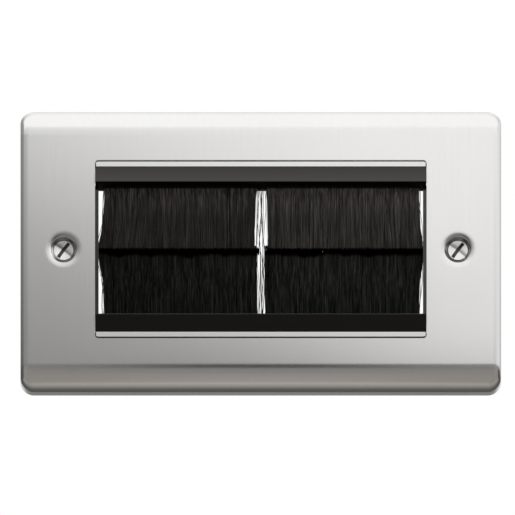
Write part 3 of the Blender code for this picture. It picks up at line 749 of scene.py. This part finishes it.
@dataclass
class FrontPlate(Assembly):
    """Pressed stainless plate with sloping shoulders, a tight bend all round, a window and two dishes."""

    screw_pitch: float = 120.6 * MM
    shoulder_w: float = 8.05 * MM
    shoulder_bend_r: float = 9.0 * MM
    shoulder_slope: float = math.radians(20)
    shoulder_bow: float = 34.0
    edge_bend_r: float = 2.3 * MM
    edge: float = 0.16 * MM
    sheet: float = 1.15 * MM
    skirt_foot: float = 0.25 * MM
    plan_corner: float = 4.2 * MM
    aperture_w: float = 101.4 * MM
    aperture_h: float = 55.6 * MM
    aperture_corner: float = 1.0 * MM
    margin: float = 0.35 * MM
    dish_mouth: float = 5.95 * MM
    dish_rim: float = 4.35 * MM
    dish_slope: float = math.radians(12)
    dish_lip: float = 1.0 * MM
    dish_sweep: float = math.radians(68)
    throat_r: float = 3.25 * MM
    throat_drop: float = 1.95 * MM
    seat_r: float = 3.06 * MM
    seat_drop: float = 2.2 * MM
    hole_r: float = 2.05 * MM
    shoulder_steps: int = 12
    bend_steps: int = 12
    corner_steps: int = 14
    dish_steps: int = 72
    lip_steps: int = 10

    def __post_init__(self) -> None:
        """Read the plate's outer size from the frame."""
        low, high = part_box("front_plate")
        self.half_w = high.x
        self.half_h = high.z
        self.depth = -low.y
        self.shoulder_start = self.half_h - self.shoulder_w

    def _station(self, inset: float, height: float) -> Station:
        """Outline at a distance in from the plate's edge."""
        return Station(self.half_w - inset, self.half_h - inset, self.plan_corner - inset, height)

    def _drop(self, y: float) -> float:
        """How far the face has fallen at a distance from the plate's middle line."""
        past = abs(y) - self.shoulder_start
        bend_w = self.shoulder_bend_r * math.sin(self.shoulder_slope)
        if past <= 0:
            return 0.0
        if past < bend_w:
            return self.shoulder_bend_r - math.sqrt(self.shoulder_bend_r ** 2 - past ** 2)
        bend_drop = self.shoulder_bend_r * (1 - math.cos(self.shoulder_slope))
        run = past - bend_w
        return bend_drop + run * math.tan(self.shoulder_slope) + self.shoulder_bow * run ** 2 / 2

    def _bend(self) -> list[Station]:
        """Outlines round the tight bend, from the face to the skirt."""
        stations = []
        for step in range(self.bend_steps + 1):
            angle = step * math.pi / 2 / self.bend_steps
            inset = self.edge_bend_r * (1 - math.sin(angle))
            stations.append(self._station(inset, self.depth - self.edge_bend_r * (1 - math.cos(angle))))
        return stations

    def _dish(self) -> list[Pair]:
        """Radius and height down the inside of a screw dish."""
        points = [(self.dish_mouth, self.depth)]
        wide = (self.dish_mouth - self.dish_rim) / math.sin(self.dish_slope)
        arcs = [(wide, 0.0, self.dish_slope), (self.dish_lip, self.dish_slope, self.dish_sweep)]
        for bend_r, start, end in arcs:
            first_r, first_z = points[-1]
            for step in range(1, self.lip_steps + 1):
                angle = start + (end - start) * step / self.lip_steps
                points.append((first_r - bend_r * (math.sin(angle) - math.sin(start)),
                               first_z - bend_r * (math.cos(start) - math.cos(angle))))
        points.append((self.throat_r, self.depth - self.throat_drop))
        seat_z = self.depth - self.seat_drop
        points.append((self.seat_r, seat_z))
        points.append((self.hole_r, seat_z - (self.seat_r - self.hole_r)))
        return points

    def _slice(self, work: Mesh) -> None:
        """Cut the mesh where the shoulders' bends need points."""
        places = [-self.margin]
        for step in range(self.shoulder_steps + 1):
            places.append(self.shoulder_bend_r * math.sin(self.shoulder_slope * step / self.shoulder_steps))
        for past in places:
            for sign in (-1, 1):
                geometry = [*work.verts, *work.edges, *work.faces]
                bmesh.ops.bisect_plane(work, geom=geometry, dist=WELD, plane_no=(0, 1, 0),
                                       plane_co=(0, sign * (self.shoulder_start + past), 0))

    def build(self, material: Material) -> None:
        """Model and dress the plate.

        Args:
            material: the stainless finish.
        """
        work = bmesh.new()
        last = self._station(self.edge_bend_r + self.margin, self.depth)
        outer = rounded_loop(work, last, self.corner_steps)
        inner = Station(self.aperture_w / 2, self.aperture_h / 2, self.aperture_corner, self.depth)
        around = Station(inner.half_w + self.margin, inner.half_h + self.margin, inner.radius + self.margin,
                         self.depth)
        window = rounded_loop(work, around, self.corner_steps)
        centres = [Vector((side.value * self.screw_pitch / 2, 0, self.depth)) for side in Side]
        mouth = self.dish_mouth + self.margin
        dishes = [round_loop(work, centre, mouth, self.dish_steps) for centre in centres]
        bmesh.ops.triangle_fill(work, use_beauty=True, use_dissolve=False, edges=list(work.edges),
                                normal=(0, 0, 1))
        for station in self._bend():
            outer = draw_on(work, outer, lambda co, old=last, new=station: old.carry(co, new))
            last = station
        draw_on(work, window, lambda co: around.carry(co, inner))
        self._slice(work)
        for vert in work.verts:
            vert.co.z -= self._drop(vert.co.y)
        rim = [item for item in work.edges if item.is_boundary
               and max(vert.co.z for vert in item.verts) < self.depth - self.edge_bend_r / 2]
        for height in (self.skirt_foot, 0.0):
            rim = draw_on(work, rim, lambda co, z=height: Vector((co.x, co.y, z)))
        for loop, centre in zip(dishes, centres):
            for radius, height in self._dish():
                loop = draw_on(work, loop, ring_mover(centre, radius, height))
        bmesh.ops.recalc_face_normals(work, faces=work.faces)
        put_upright(work)
        self.add_piece("stainless_plate", work, material, "front_plate", "brushed_stainless",
                       edge=self.edge, sheet=self.sheet)


@dataclass
class Yoke(Assembly):
    """Bright plated frame whose lips show in the window."""

    edge: float = 0.12 * MM
    lip_from: float = 50.1 * MM
    lip_to: float = 50.42 * MM
    lip_front: float = 8.6 * MM

    def build(self, material: Material) -> None:
        """Soften the frame's edges and dress it."""
        work = spread(merged_copy("yoke_frame"), 0, self.lip_from, self.lip_to, self.lip_front)
        self.add_piece("plated_yoke", work, material, "yoke_frame", "bright_plated_steel", edge=self.edge)


@dataclass
class BrushRails(Assembly):
    """The two moulded rails, which fill the window from end to end."""

    edge: float = 0.2 * MM
    end_from: float = 50.4 * MM
    end_to: float = 50.68 * MM
    top_from: float = 25.4 * MM
    top_to: float = 25.72 * MM
    top_front: float = 7.5 * MM

    def build(self, materials: dict[str, Material]) -> None:
        """Soften the rails' edges and dress them.

        Args:
            materials: the finish of the top and of the bottom rail.
        """
        for name, material in materials.items():
            node = name + "_rail"
            work = spread(merged_copy(node), 0, self.end_from, self.end_to)
            spread(work, 2, self.top_from, self.top_to, self.top_front)
            self.add_piece(name + "_moulded_rail", work, material, node, "black_moulding", edge=self.edge)


@dataclass(frozen=True)
class Waypoint:
    """Where a pack of filaments passes at one height."""

    height: float
    middle: float
    half: float
    drift: float
    tuck: float


@dataclass(frozen=True)
class Strays:
    """Loose strands beside one edge of a pack: how many, how far out, which way and how thick."""

    count: int
    gap: float
    sweep: Pair
    thickness: Pair


@dataclass
class StripBrush(Assembly):
    """One strip brush: its folded channel, core wire and filaments, some stray or bent at the tip."""

    row: Row = Row.UPPER
    side: Side = Side.LEFT
    seed: int = 1
    tuck: float = 0.0
    hooked: int = 0
    filaments: int = 3100
    inner_strays: Strays = Strays(5, 1.5 * MM, (-0.5 * MM, 0.8 * MM), (0.6, 1.6))
    outer_strays: Strays = Strays(4, 0.5 * MM, (0.2 * MM, 0.9 * MM), (0.6, 1.3))
    filament_r: float = 0.082 * MM
    filament_thickness: Pair = (0.8, 1.15)
    stray_r: float = 0.075 * MM
    stray_short: float = 2.0 * MM
    stray_sway: float = 0.40 * MM
    stray_pace: float = 7.0
    hook_start: Pair = (1.3 * MM, 1.8 * MM)
    hook_end: Pair = (-0.3 * MM, 0.6 * MM)
    hook_drop: Pair = (1.1 * MM, 1.8 * MM)
    hook_bend: Pair = (1.0 * MM, 0.2 * MM)
    hook_depth: float = 0.3
    taper: float = 0.7
    wall: float = 0.8 * MM
    fold: float = 1.2 * MM
    mouth: float = 20.5 * MM
    belly: float = 12.7 * MM
    belly_half: float = 1.5 * MM
    belly_lean: float = 0.6 * MM
    crossing: float = 3.6 * MM
    tip_half: float = 0.85 * MM
    tip_lean: float = 1.05 * MM
    tip_round: float = 0.12 * MM
    tip_scatter: float = 0.15 * MM
    tip_wave: float = 0.18 * MM
    tip_waves: tuple[Triple, ...] = ((1.0, 170.0, 1.0), (0.6, 420.0, 3.0))
    clumps: tuple[Triple, ...] = ((0.26 * MM, 1150.0, 2.1), (0.18 * MM, 2650.0, 1.0))
    lean_scatter: float = 0.36 * MM
    curl_scatter: float = 0.08 * MM
    reach: float = 49.35 * MM
    fan_from: float = 0.3
    fan_power: float = 1.4
    push_back: float = 1.3
    tuck_share: float = 0.07
    proud_share: float = 0.01
    proud: float = 0.1 * MM
    edge: float = 0.12 * MM

    def __post_init__(self) -> None:
        """Read the pack's place from the frame."""
        self.label = f"{self.row.name.lower()}_{self.side.name.lower()}"
        low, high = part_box(self.label + "_channel")
        self.start_x = low.x
        self.end_x = high.x
        self.middle_y = (low.y + high.y) / 2
        self.root_half = (high.y - low.y) / 2 - self.wall
        self.root = max(high.z, -low.z) - self.fold
        pack_low, pack_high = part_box(self.label + "_bristles")
        self.tip = self.row.value * (pack_low.z if self.row is Row.UPPER else pack_high.z)
        outer = self.end_x if self.side is Side.RIGHT else -self.start_x
        self.flare = self.reach - outer

    def _waypoints(self) -> list[Waypoint]:
        """Where the pack passes from its roots to its tips."""
        belly_lean, tip_lean = self.row.value * self.belly_lean, self.row.value * self.tip_lean
        return [Waypoint(self.root, 0.0, self.root_half, 0.0, 0.0),
                Waypoint(self.mouth, 0.0, self.root_half, 0.02, 0.05),
                Waypoint((self.mouth + self.belly) / 2, belly_lean * 0.5, self.belly_half, 0.06, 0.5),
                Waypoint(self.belly, belly_lean, self.belly_half, 0.15, 0.65),
                Waypoint((self.belly + self.crossing) / 2, (belly_lean + tip_lean) / 2,
                         (self.belly_half + self.tip_half) / 2, 0.42, 0.75),
                Waypoint(self.crossing, tip_lean, self.tip_half, 0.80, 0.9),
                Waypoint(self.tip + self.tip_round, tip_lean, self.tip_half, 1.0, 1.0),
                Waypoint(self.tip, tip_lean, self.tip_half, 1.0, 1.0)]

    def _ripple(self, x: float, waves: Iterable[Triple]) -> float:
        """Sum of sine waves at a place along the channel, each with its height, pace and phase."""
        return sum(height * math.sin(x * pace + self.seed * phase) for height, pace, phase in waves)

    def _at(self, point: Waypoint, x: float, share: float, height: float) -> Triple:
        """A place in the pack.

        Args:
            point: the nearest waypoint.
            x: place along the channel.
            share: place across the pack, from -1 at the back to 1 at the front.
            height: distance from the plate's middle line.

        Returns:
            The place's coordinates.
        """
        return (x, self.middle_y - point.middle - share * point.half, self.row.value * height)

    def _path(self, dice: random.Random, x: float, share: float, extra: float) -> list[Triple]:
        """Points of one filament from its root to its tip.

        Args:
            dice: the pack's random numbers.
            x: place of the root along the channel.
            share: place across the pack, from -1 at the back to 1 at the front.
            extra: how far the tip runs past the pack's edge.

        Returns:
            The filament's points.
        """
        sign = self.side.value
        along = (x - self.start_x) / (self.end_x - self.start_x)
        outward = along if self.side is Side.RIGHT else 1 - along
        opened = max(0.0, (outward - self.fan_from) / (1 - self.fan_from)) ** self.fan_power
        fan = sign * self.flare * opened
        lean = dice.gauss(0, self.lean_scatter) + self._ripple(x, self.clumps)
        curl = dice.gauss(0, self.curl_scatter)
        tuck = sign * self.tuck * max(0.0, 1 - outward / self.tuck_share)
        inner = self.start_x if self.side is Side.RIGHT else self.end_x
        past = (inner - x - lean - fan) * sign
        lean += sign * max(0.0, past) * self.push_back
        extra += self.tip_wave * self._ripple(x, self.tip_waves)
        path = []
        for point in self._waypoints():
            height = point.height - extra if point.height <= self.tip + self.tip_round else point.height
            shift = lean * point.drift + fan * point.drift ** self.fan_power + tuck * point.tuck
            shift += curl * math.sin(math.tau * point.drift)
            path.append(self._at(point, x + shift, share, height))
        return path

    def _stray(self, dice: random.Random, start: float, end: float) -> list[Triple]:
        """Points of one strand that hangs on its own beside the pack.

        Args:
            dice: the pack's random numbers.
            start: the strand's place at its root.
            end: its place at the tip.

        Returns:
            The strand's points.
        """
        share = dice.uniform(-1, 1)
        short = dice.uniform(0, self.stray_short)
        sway = dice.uniform(-self.stray_sway, self.stray_sway)
        turn = dice.uniform(0, math.tau)
        path = []
        for point in self._waypoints():
            height = point.height + short if point.height <= self.tip + self.tip_round else point.height
            down = 1 - point.height / self.root
            x = start + (end - start) * down + sway * math.sin(turn + self.stray_pace * down)
            path.append(self._at(point, x, share, height))
        return path

    def _hook(self, dice: random.Random, start: float, end: float) -> list[Triple]:
        """Points of a filament at the pack's inner edge whose tip has bent out of the pack."""
        *straight, near, last = self._waypoints()
        share = dice.uniform(-1, 1)
        low = self.tip - dice.uniform(*self.hook_drop)
        first, second = self.hook_bend
        path = [self._at(point, start, dice.uniform(-self.hook_depth, self.hook_depth), point.height)
                for point in straight]
        path.append(self._at(last, start, share, near.height + first))
        path += [self._at(last, end, share, height) for height in (self.tip + second, low)]
        return path

    def _add_spline(self, curve: bpy.types.Curve, path: Sequence[Triple], thick: float) -> None:
        """Add one filament to the curve that holds them all."""
        spline = curve.splines.new("POLY")
        spline.points.add(len(path) - 1)
        spline.points.foreach_set("co", [value for point in path for value in (*point, 1.0)])
        spline.points.foreach_set("radius", [thick] * (len(path) - 1) + [thick * self.taper])

    def _lay(self, curve: bpy.types.Curve) -> None:
        """Lay the pack's filaments, its strays and its bent tips into a curve."""
        dice = random.Random(self.seed)
        length = self.end_x - self.start_x
        for index in range(self.filaments):
            x = self.start_x + length * (index + dice.random()) / self.filaments
            proud = dice.random() < self.proud_share
            extra = dice.uniform(0, self.proud) if proud else -abs(dice.gauss(0, self.tip_scatter))
            path = self._path(dice, x, dice.uniform(-1, 1), extra)
            self._add_spline(curve, path, self.filament_r * dice.uniform(*self.filament_thickness))
        sign = self.side.value
        inner, outer = (self.start_x, self.end_x)[::sign]
        for edge, away, strays in ((inner, -sign, self.inner_strays), (outer, sign, self.outer_strays)):
            for _ in range(strays.count):
                start = edge + away * dice.uniform(0.0, strays.gap)
                path = self._stray(dice, start, start + sign * dice.uniform(*strays.sweep))
                self._add_spline(curve, path, self.stray_r * dice.uniform(*strays.thickness))
        for _ in range(self.hooked):
            start = inner + sign * dice.uniform(*self.hook_start)
            path = self._hook(dice, start, inner - sign * dice.uniform(*self.hook_end))
            self._add_spline(curve, path, self.filament_r)

    def _filaments(self, material: Material) -> Object:
        """Make every filament of the pack as one mesh of tapered tubes."""
        name = self.label + "_filaments"
        curve = bpy.data.curves.new(name, "CURVE")
        curve.dimensions = "3D"
        curve.bevel_depth = 1.0
        curve.bevel_resolution = 0
        curve.use_fill_caps = True
        self._lay(curve)
        guide = bpy.data.objects.new(name + "_guide", curve)
        bpy.context.scene.collection.objects.link(guide)
        depsgraph = bpy.context.evaluated_depsgraph_get()
        mesh = bpy.data.meshes.new_from_object(guide.evaluated_get(depsgraph), depsgraph=depsgraph)
        bpy.data.objects.remove(guide, do_unlink=True)
        work = bmesh.new()
        work.from_mesh(mesh)
        bpy.data.meshes.remove(mesh)
        bmesh.ops.remove_doubles(work, verts=work.verts, dist=WELD)
        return link_mesh(name, work, material)

    def build(self, filament: Material, strip: Material, wire: Material) -> None:
        """Model and dress the brush.

        Args:
            filament: the bristles' finish.
            strip: the channel's finish.
            wire: the core wire's finish.
        """
        item = self._filaments(filament)
        item.data.shade_smooth()
        self.dress(item, self.label + "_bristles", "black_bristle")
        channel = self.label + "_channel"
        self.add_piece(self.label + "_folded_channel", merged_copy(channel), strip, channel,
                       "galvanised_strip", edge=self.edge)
        self.keep_node(self.label + "_core_wire", wire)


@dataclass
class FixingScrew(Assembly):
    """Slotted screw with a raised countersunk head, a rolled thread and its retaining washer."""

    side: Side = Side.LEFT
    head_r: float = 2.98 * MM
    dome: float = 0.8 * MM
    head_edge: float = 0.15 * MM
    shank_r: float = 1.75 * MM
    thread_depth: float = 0.32 * MM
    thread_pitch: float = 0.6 * MM
    slot_w: float = 1.06 * MM
    slot_reach: float = 2.76 * MM
    slot_depth: float = 0.9 * MM
    slot_turn: float = math.radians(53)
    plain: float = 2.0 * MM
    point_free: float = 1.2 * MM
    point_h: float = 0.5 * MM
    point_cut: float = 0.8 * MM
    edge: float = 0.07 * MM
    washer_edge: float = 0.12 * MM
    dome_steps: int = 12
    steps: int = 64

    def __post_init__(self) -> None:
        """Read the screw's place from the frame."""
        self.node = "fixing_screw_" + self.side.name.lower()
        low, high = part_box(self.node)
        self.x = (low.x + high.x) / 2
        self.crown = -low.y
        self.rim = self.crown - self.dome
        self.point = -high.y
        self.ball = (self.head_r ** 2 + self.dome ** 2) / (2 * self.dome)

    def _profile(self) -> list[Pair]:
        """Radius and height from the crown down to the shank."""
        reach = math.asin(self.head_r / self.ball)
        turns = [reach * step / self.dome_steps for step in range(self.dome_steps + 1)]
        points = [(self.ball * math.sin(turn), self.crown - self.ball * (1 - math.cos(turn)))
                  for turn in turns]
        foot = self.rim - self.head_edge
        points += [(self.head_r, foot), (self.shank_r, foot - (self.head_r - self.shank_r))]
        return points

    def _spin(self, work: Mesh, profile: Sequence[Pair]) -> None:
        """Turn a profile about the screw's axis."""
        verts = [work.verts.new((radius, 0, height)) for radius, height in profile]
        edges = [work.edges.new(pair) for pair in zip(verts, verts[1:])]
        bmesh.ops.spin(work, geom=verts + edges, cent=(0, 0, 0), axis=(0, 0, 1), dvec=(0, 0, 0),
                       angle=math.tau, steps=self.steps, use_merge=True, use_duplicate=False)

    def _thread(self, top: float) -> list[Pair]:
        """Radius and height down the thread to the screw's point."""
        crest, root = self.shank_r, self.shank_r - self.thread_depth
        turns = int((top - self.point - self.point_free) / self.thread_pitch)
        points = [(crest, top)]
        for turn in range(turns):
            start = top - turn * self.thread_pitch
            points += [(radius, start - self.thread_pitch * share)
                       for radius, share in ((root, 0.35), (root, 0.45), (crest, 0.8), (crest, 0.95))]
        points += [(root, self.point + self.point_h), (self.shank_r - self.point_cut, self.point),
                   (0.0, self.point)]
        return points

    def _cutter(self) -> Object:
        """Make the block that cuts the slot."""
        work = bmesh.new()
        bmesh.ops.create_cube(work, size=1.0)
        tall = self.slot_depth + self.dome
        bmesh.ops.scale(work, vec=(self.slot_reach * 2, self.slot_w, tall), verts=work.verts)
        turned = Matrix.Rotation(self.slot_turn, 3, "Z")
        bmesh.ops.rotate(work, cent=(0, 0, 0), matrix=turned, verts=work.verts)
        height = self.crown - self.slot_depth + tall / 2
        bmesh.ops.translate(work, vec=(self.x, 0, height), verts=work.verts)
        put_upright(work)
        return link_mesh(self.node + "_slot", work)

    def build(self, material: Material, nylon: Material) -> None:
        """Model and dress the screw and its washer.

        Args:
            material: the screw's finish.
            nylon: the washer's finish.
        """
        work = bmesh.new()
        profile = self._profile()
        self._spin(work, profile + self._thread(profile[-1][1] - self.plain))
        bmesh.ops.remove_doubles(work, verts=work.verts, dist=2 * WELD)
        bmesh.ops.recalc_face_normals(work, faces=work.faces)
        bmesh.ops.translate(work, vec=(self.x, 0, 0), verts=work.verts)
        put_upright(work)
        name = self.side.name.lower()
        self.add_piece("slotted_screw_" + name, work, material, self.node, "nickel_plate", edge=self.edge,
                       cutter=self._cutter())
        washer = "retaining_washer_" + name
        self.add_piece("nylon_washer_" + name, merged_copy(washer), nylon, washer, "natural_nylon",
                       edge=self.washer_edge)


@dataclass
class EarthTerminal(Assembly):
    """Brass block on the yoke and its clamping screw."""

    edge: float = 0.1 * MM

    def build(self, material: Material) -> None:
        """Soften both pieces and dress them."""
        for name, node in (("brass_terminal", "earth_terminal"), ("brass_clamp_screw", "earth_screw")):
            self.add_piece(name, merged_copy(node), material, node, "brass", edge=self.edge)


@dataclass(frozen=True)
class Diffuser:
    """Glowing sheet whose light fades smoothly across it, as a lamp behind it would make."""

    low: float = 0.34
    high: float = 1.36
    across: float = 28.0
    inward: float = 0.0
    up: float = 53.0
    offset: float = -1.80
    bow: float = 0.0
    warmth: float = 0.0

    def material(self, name: str) -> Material:
        """Build the material."""
        graph = Graph(name)
        x, y, z = graph.place()
        fall = self.across * x + self.inward * y + self.up * z + self.bow * x * x + self.offset
        glow = self.low + (self.high - self.low) / (1 + math.e ** (fall * -1))
        channels = {0: glow * (1 + self.warmth), 1: glow, 2: glow * (1 - self.warmth)}
        colour = graph.value("ShaderNodeCombineColor", {}, channels)
        return graph.finish(Base_Color=(0, 0, 0, 1), Specular_IOR_Level=0.0, Emission_Color=colour,
                            Emission_Strength=1.0)


class Axis(Enum):
    """The axis that a card is square to."""

    X = 0
    Y = 1
    Z = 2


@dataclass(frozen=True)
class Card:
    """Sheet that only the object sees, with its spans along the other two axes, in their order."""

    name: str
    axis: Axis
    place: float
    first: Pair
    second: Pair
    glow: Diffuser
    lights: bool = False

    def hang(self) -> None:
        """Put the card into the scene."""
        work = bmesh.new()
        points = bmesh.ops.create_grid(work, x_segments=1, y_segments=1, size=1.0)["verts"]
        points.sort(key=lambda vert: (vert.co.y, vert.co.x))
        corners = [[first, second] for second in self.second for first in self.first]
        for vert, corner in zip(points, corners):
            corner.insert(self.axis.value, self.place)
            vert.co = corner
        item = link_mesh(self.name, work, self.glow.material(self.name + "_glow"))
        item.visible_camera = False
        item.visible_shadow = False
        item.visible_diffuse = self.lights


@dataclass
class Studio:
    """Floor, lamp, cards and camera."""

    elevation: float = -11.5
    distance: float = 0.55
    view_width: float = 515 / 3.27 * MM
    centre_x: float = -3.3 / 3.27 * MM
    photo_centre: float = 3.75 / 3.27 * MM
    skirt: float = 5.5 * MM
    floor_z: float = -0.30
    floor_size: float = 8.0
    floor_level: float = 0.45
    world_level: float = 0.55
    diffuser_y: float = -0.22
    diffuser_low: float = 0.002
    diffuser_high: float = 0.24
    half_w: float = 0.60
    lamp_place: Triple = (0.0, -0.16, 0.42)
    lamp_size: Pair = (1.1, 0.60)
    lamp_glow: float = 0.45

    def _lamp(self) -> None:
        """Hang the soft lamp over the plate; at a glow of 1 its face is white."""
        lamp = bpy.data.lights.new("top", "AREA")
        lamp.shape = "RECTANGLE"
        lamp.size, lamp.size_y = self.lamp_size
        lamp.energy = self.lamp_glow * math.pi * lamp.size * lamp.size_y
        item = bpy.data.objects.new("top", lamp)
        item.location = self.lamp_place
        item.rotation_euler = (-item.location).to_track_quat("-Z", "Y").to_euler()
        item.visible_camera = False
        bpy.context.scene.collection.objects.link(item)

    def _floor(self) -> None:
        """Lay the floor."""
        work = bmesh.new()
        bmesh.ops.create_grid(work, x_segments=4, y_segments=4, size=self.floor_size / 2)
        bmesh.ops.translate(work, vec=(0, 0, self.floor_z), verts=work.verts)
        link_mesh("floor", work, PaleFloor(self.floor_level).material("pale_floor"))

    def _world(self) -> None:
        """White surroundings for what looks at them, softer light on the object."""
        graph = Graph("studio", world=True)
        path = graph.add("ShaderNodeLightPath")
        seen = path.outputs["Is Camera Ray"]
        for ray in ("Is Glossy Ray", "Is Transmission Ray"):
            seen = graph.value("ShaderNodeMath", {"operation": "MAXIMUM"}, {0: seen, 1: path.outputs[ray]})
        levels = {"Value": seen, "To Min": self.world_level, "To Max": 1.0}
        strength = graph.value("ShaderNodeMapRange", {}, levels)
        bpy.context.scene.world = graph.finish(Color=(1, 1, 1, 1), Strength=strength)

    def _camera(self) -> None:
        """Set the camera square to the plate, a little below it."""
        data = bpy.data.cameras.new("camera")
        data.type = "ORTHO"
        data.ortho_scale = self.view_width
        data.clip_start = 0.01
        data.clip_end = 20
        tilt = math.radians(self.elevation)
        back = Vector((0, -math.cos(tilt), math.sin(tilt)))
        up = Vector((0, math.sin(tilt), math.cos(tilt)))
        rise = self.skirt * math.sin(-tilt) / 2 - self.photo_centre
        item = bpy.data.objects.new("camera", data)
        item.location = Vector((self.centre_x, 0, 0)) + back * self.distance + up * rise
        item.rotation_euler = (-back).to_track_quat("-Z", "Y").to_euler()
        bpy.context.scene.collection.objects.link(item)
        bpy.context.scene.camera = item

    def _cards(self) -> list[Card]:
        """The diffuser in front of the plate, and the flags and glowing cards round it."""
        end, low, high, front = self.half_w, self.diffuser_low, self.diffuser_high, self.diffuser_y
        wide, tall, deep = (-end, end), (low, high), (front, 1.6)
        wing_y, left, right, below = front + 0.003, (-end, -0.12), (0.12, end), (-0.29, -0.062)
        low_wing = Diffuser(low=0.36, high=0.36, across=0.0, up=0.0, warmth=0.05)
        return [
            Card("diffuser", Axis.Y, front, wide, tall, Diffuser(), lights=True),
            Card("diffuser_head", Axis.Y, front + 0.001, wide, (0.096, high),
                 Diffuser(low=0.95, high=1.32, across=38.0, up=17.7, offset=-0.88), lights=True),
            Card("diffuser_foot", Axis.Y, front + 0.002, wide, (low, 0.018),
                 Diffuser(low=0.38, high=2.0, warmth=0.012), lights=True),
            Card("horizon_flag", Axis.Y, front, wide, (-0.060, low),
                 Diffuser(low=0.0, high=0.30, across=0.0, up=0.0, offset=-2.5, bow=1900.0)),
            Card("left_wing", Axis.Y, wing_y, (-end, -0.085), tall,
                 Diffuser(low=0.28, high=1.0, across=8.4, up=47.0, offset=-1.99)),
            Card("right_wing", Axis.Y, wing_y, (0.085, end), tall,
                 Diffuser(low=1.0, high=1.32, across=-3.0, up=50.0, offset=-2.2)),
            Card("left_flag", Axis.X, -end, deep, (-0.29, 0.50),
                 Diffuser(low=0.12, high=0.42, across=0.0, inward=-4.0, up=49.0, offset=-5.26)),
            Card("right_flag", Axis.X, end, deep, (-0.29, 0.50),
                 Diffuser(low=0.70, high=1.15, across=0.0, inward=-14.0, up=25.0, offset=0.6)),
            Card("right_foot_flag", Axis.X, 0.598, deep, (-0.29, 0.02),
                 Diffuser(low=0.10, high=0.70, across=0.0, up=80.0, offset=0.8)),
            Card("left_hood", Axis.Z, 0.449, left, (0.0, 1.2),
                 Diffuser(low=0.36, high=1.30, across=12.0, up=0.0, offset=4.0)),
            Card("left_low_wing", Axis.Y, wing_y, left, below, low_wing),
            Card("right_hood", Axis.Z, 0.449, right, (0.0, 1.2),
                 Diffuser(low=0.85, high=1.30, across=-12.0, up=0.0, offset=4.0)),
            Card("right_low_wing", Axis.Y, wing_y, right, below, low_wing),
            Card("ceiling_card", Axis.Z, 0.45, (-0.12, 0.12), (0.12, 0.30),
                 Diffuser(low=1.35, high=1.35, across=0.0, up=0.0, offset=0.0)),
            Card("under_flag", Axis.Z, -0.12, (-0.25, 0.25), (-0.06, 0.18),
                 Diffuser(low=0.12, high=0.46, across=0.0, inward=-80.0, up=0.0, offset=-0.9, warmth=0.05)),
            Card("front_sheet", Axis.Z, self.floor_z + 0.005, wide, (-0.90, -0.08),
                 Diffuser(low=0.33, high=0.57, across=0.0, inward=40.0, up=0.0, offset=16.8, bow=-1300.0,
                          warmth=0.065))]

    def build(self) -> None:
        """Set everything up."""
        self._camera()
        self._floor()
        self._world()
        for card in self._cards():
            card.hang()
        self._lamp()
        bpy.context.scene.view_settings.view_transform = "Standard"


def main() -> None:
    """Build every sub-assembly in order and report its pieces."""
    logging.basicConfig(level=logging.INFO, format="%(message)s")
    Studio().build()
    plate, yoke, rails, earth = FrontPlate(), Yoke(), BrushRails(), EarthTerminal()
    plate.build(BrushedStainless().material("brushed_stainless_finish"))
    yoke.build(BrightPlate().material("bright_plate_finish"))
    # The rails are lit and shaded copies of one plastic: the top one brighter with more sheen, with painted
    # light at its nose and painted shade on its inner face; the bottom one darker, with a painted highlight
    # along its top edge.
    upper = BlackMoulding(level=0.007, nose_light_level=0.024, specular=0.41)
    lower = BlackMoulding(level=0.004, nose_light_level=0.004, specular=0.18, inner=20.75 * MM, inner_paint_level=0.05,
                          inner_shade_metal=0.0)
    rails.build({"top": upper.material("top_moulding_finish"),
                 "bottom": lower.material("bottom_moulding_finish")})
    cool = (0.7, 1.0, 0.55, 1.0)
    brushes = [StripBrush(Row.UPPER, Side.LEFT, seed=11, tuck=1.15 * MM, hooked=16),
               StripBrush(Row.UPPER, Side.RIGHT, seed=12, tuck=0.75 * MM),
               StripBrush(Row.LOWER, Side.LEFT, seed=13, tuck=0.3 * MM),
               StripBrush(Row.LOWER, Side.RIGHT, seed=14, tuck=-0.5 * MM)]
    # The packs are lit and shaded copies of one filament: the upper ones lighter with painted light at the
    # roots, the right-hand upper one lightest, the lower ones darker with less sheen.
    filaments = [BlackFilament(0.0145, 6.5, 0.35), BlackFilament(0.0215, 5.3, 0.46, inner_shade=0.45),
                 BlackFilament(0.0145, 1.0, 0.08, warmth=0.04, sheen=cool),
                 BlackFilament(0.0165, 1.0, 0.10, inner_shade=0.3, warmth=0.04, sheen=cool)]
    strip = GalvanisedStrip().material("galvanised_strip_finish")
    wire = DrawnWire().material("drawn_wire_finish")
    for brush, filament in zip(brushes, filaments):
        brush.build(filament.material(brush.label + "_filament_finish"), strip, wire)
    nylon = NaturalNylon().material("natural_nylon_finish")
    screws = [FixingScrew(side=side) for side in Side]
    # Each screw head has its own level of painted light on its lit half.
    for screw, lit_half in zip(screws, (0.84, 0.66)):
        nickel = TurnedNickel(screw.x, lit_half_level=lit_half, crown=screw.crown, ball=screw.ball)
        screw.build(nickel.material("turned_nickel_" + screw.side.name.lower()), nylon)
    earth.build(MachinedBrass().material("machined_brass_finish"))
    assemblies: list[Assembly] = [plate, yoke, rails, *brushes, *screws, earth]
    for assembly in assemblies:
        assembly.report()


if __name__ == "__main__":
    main()
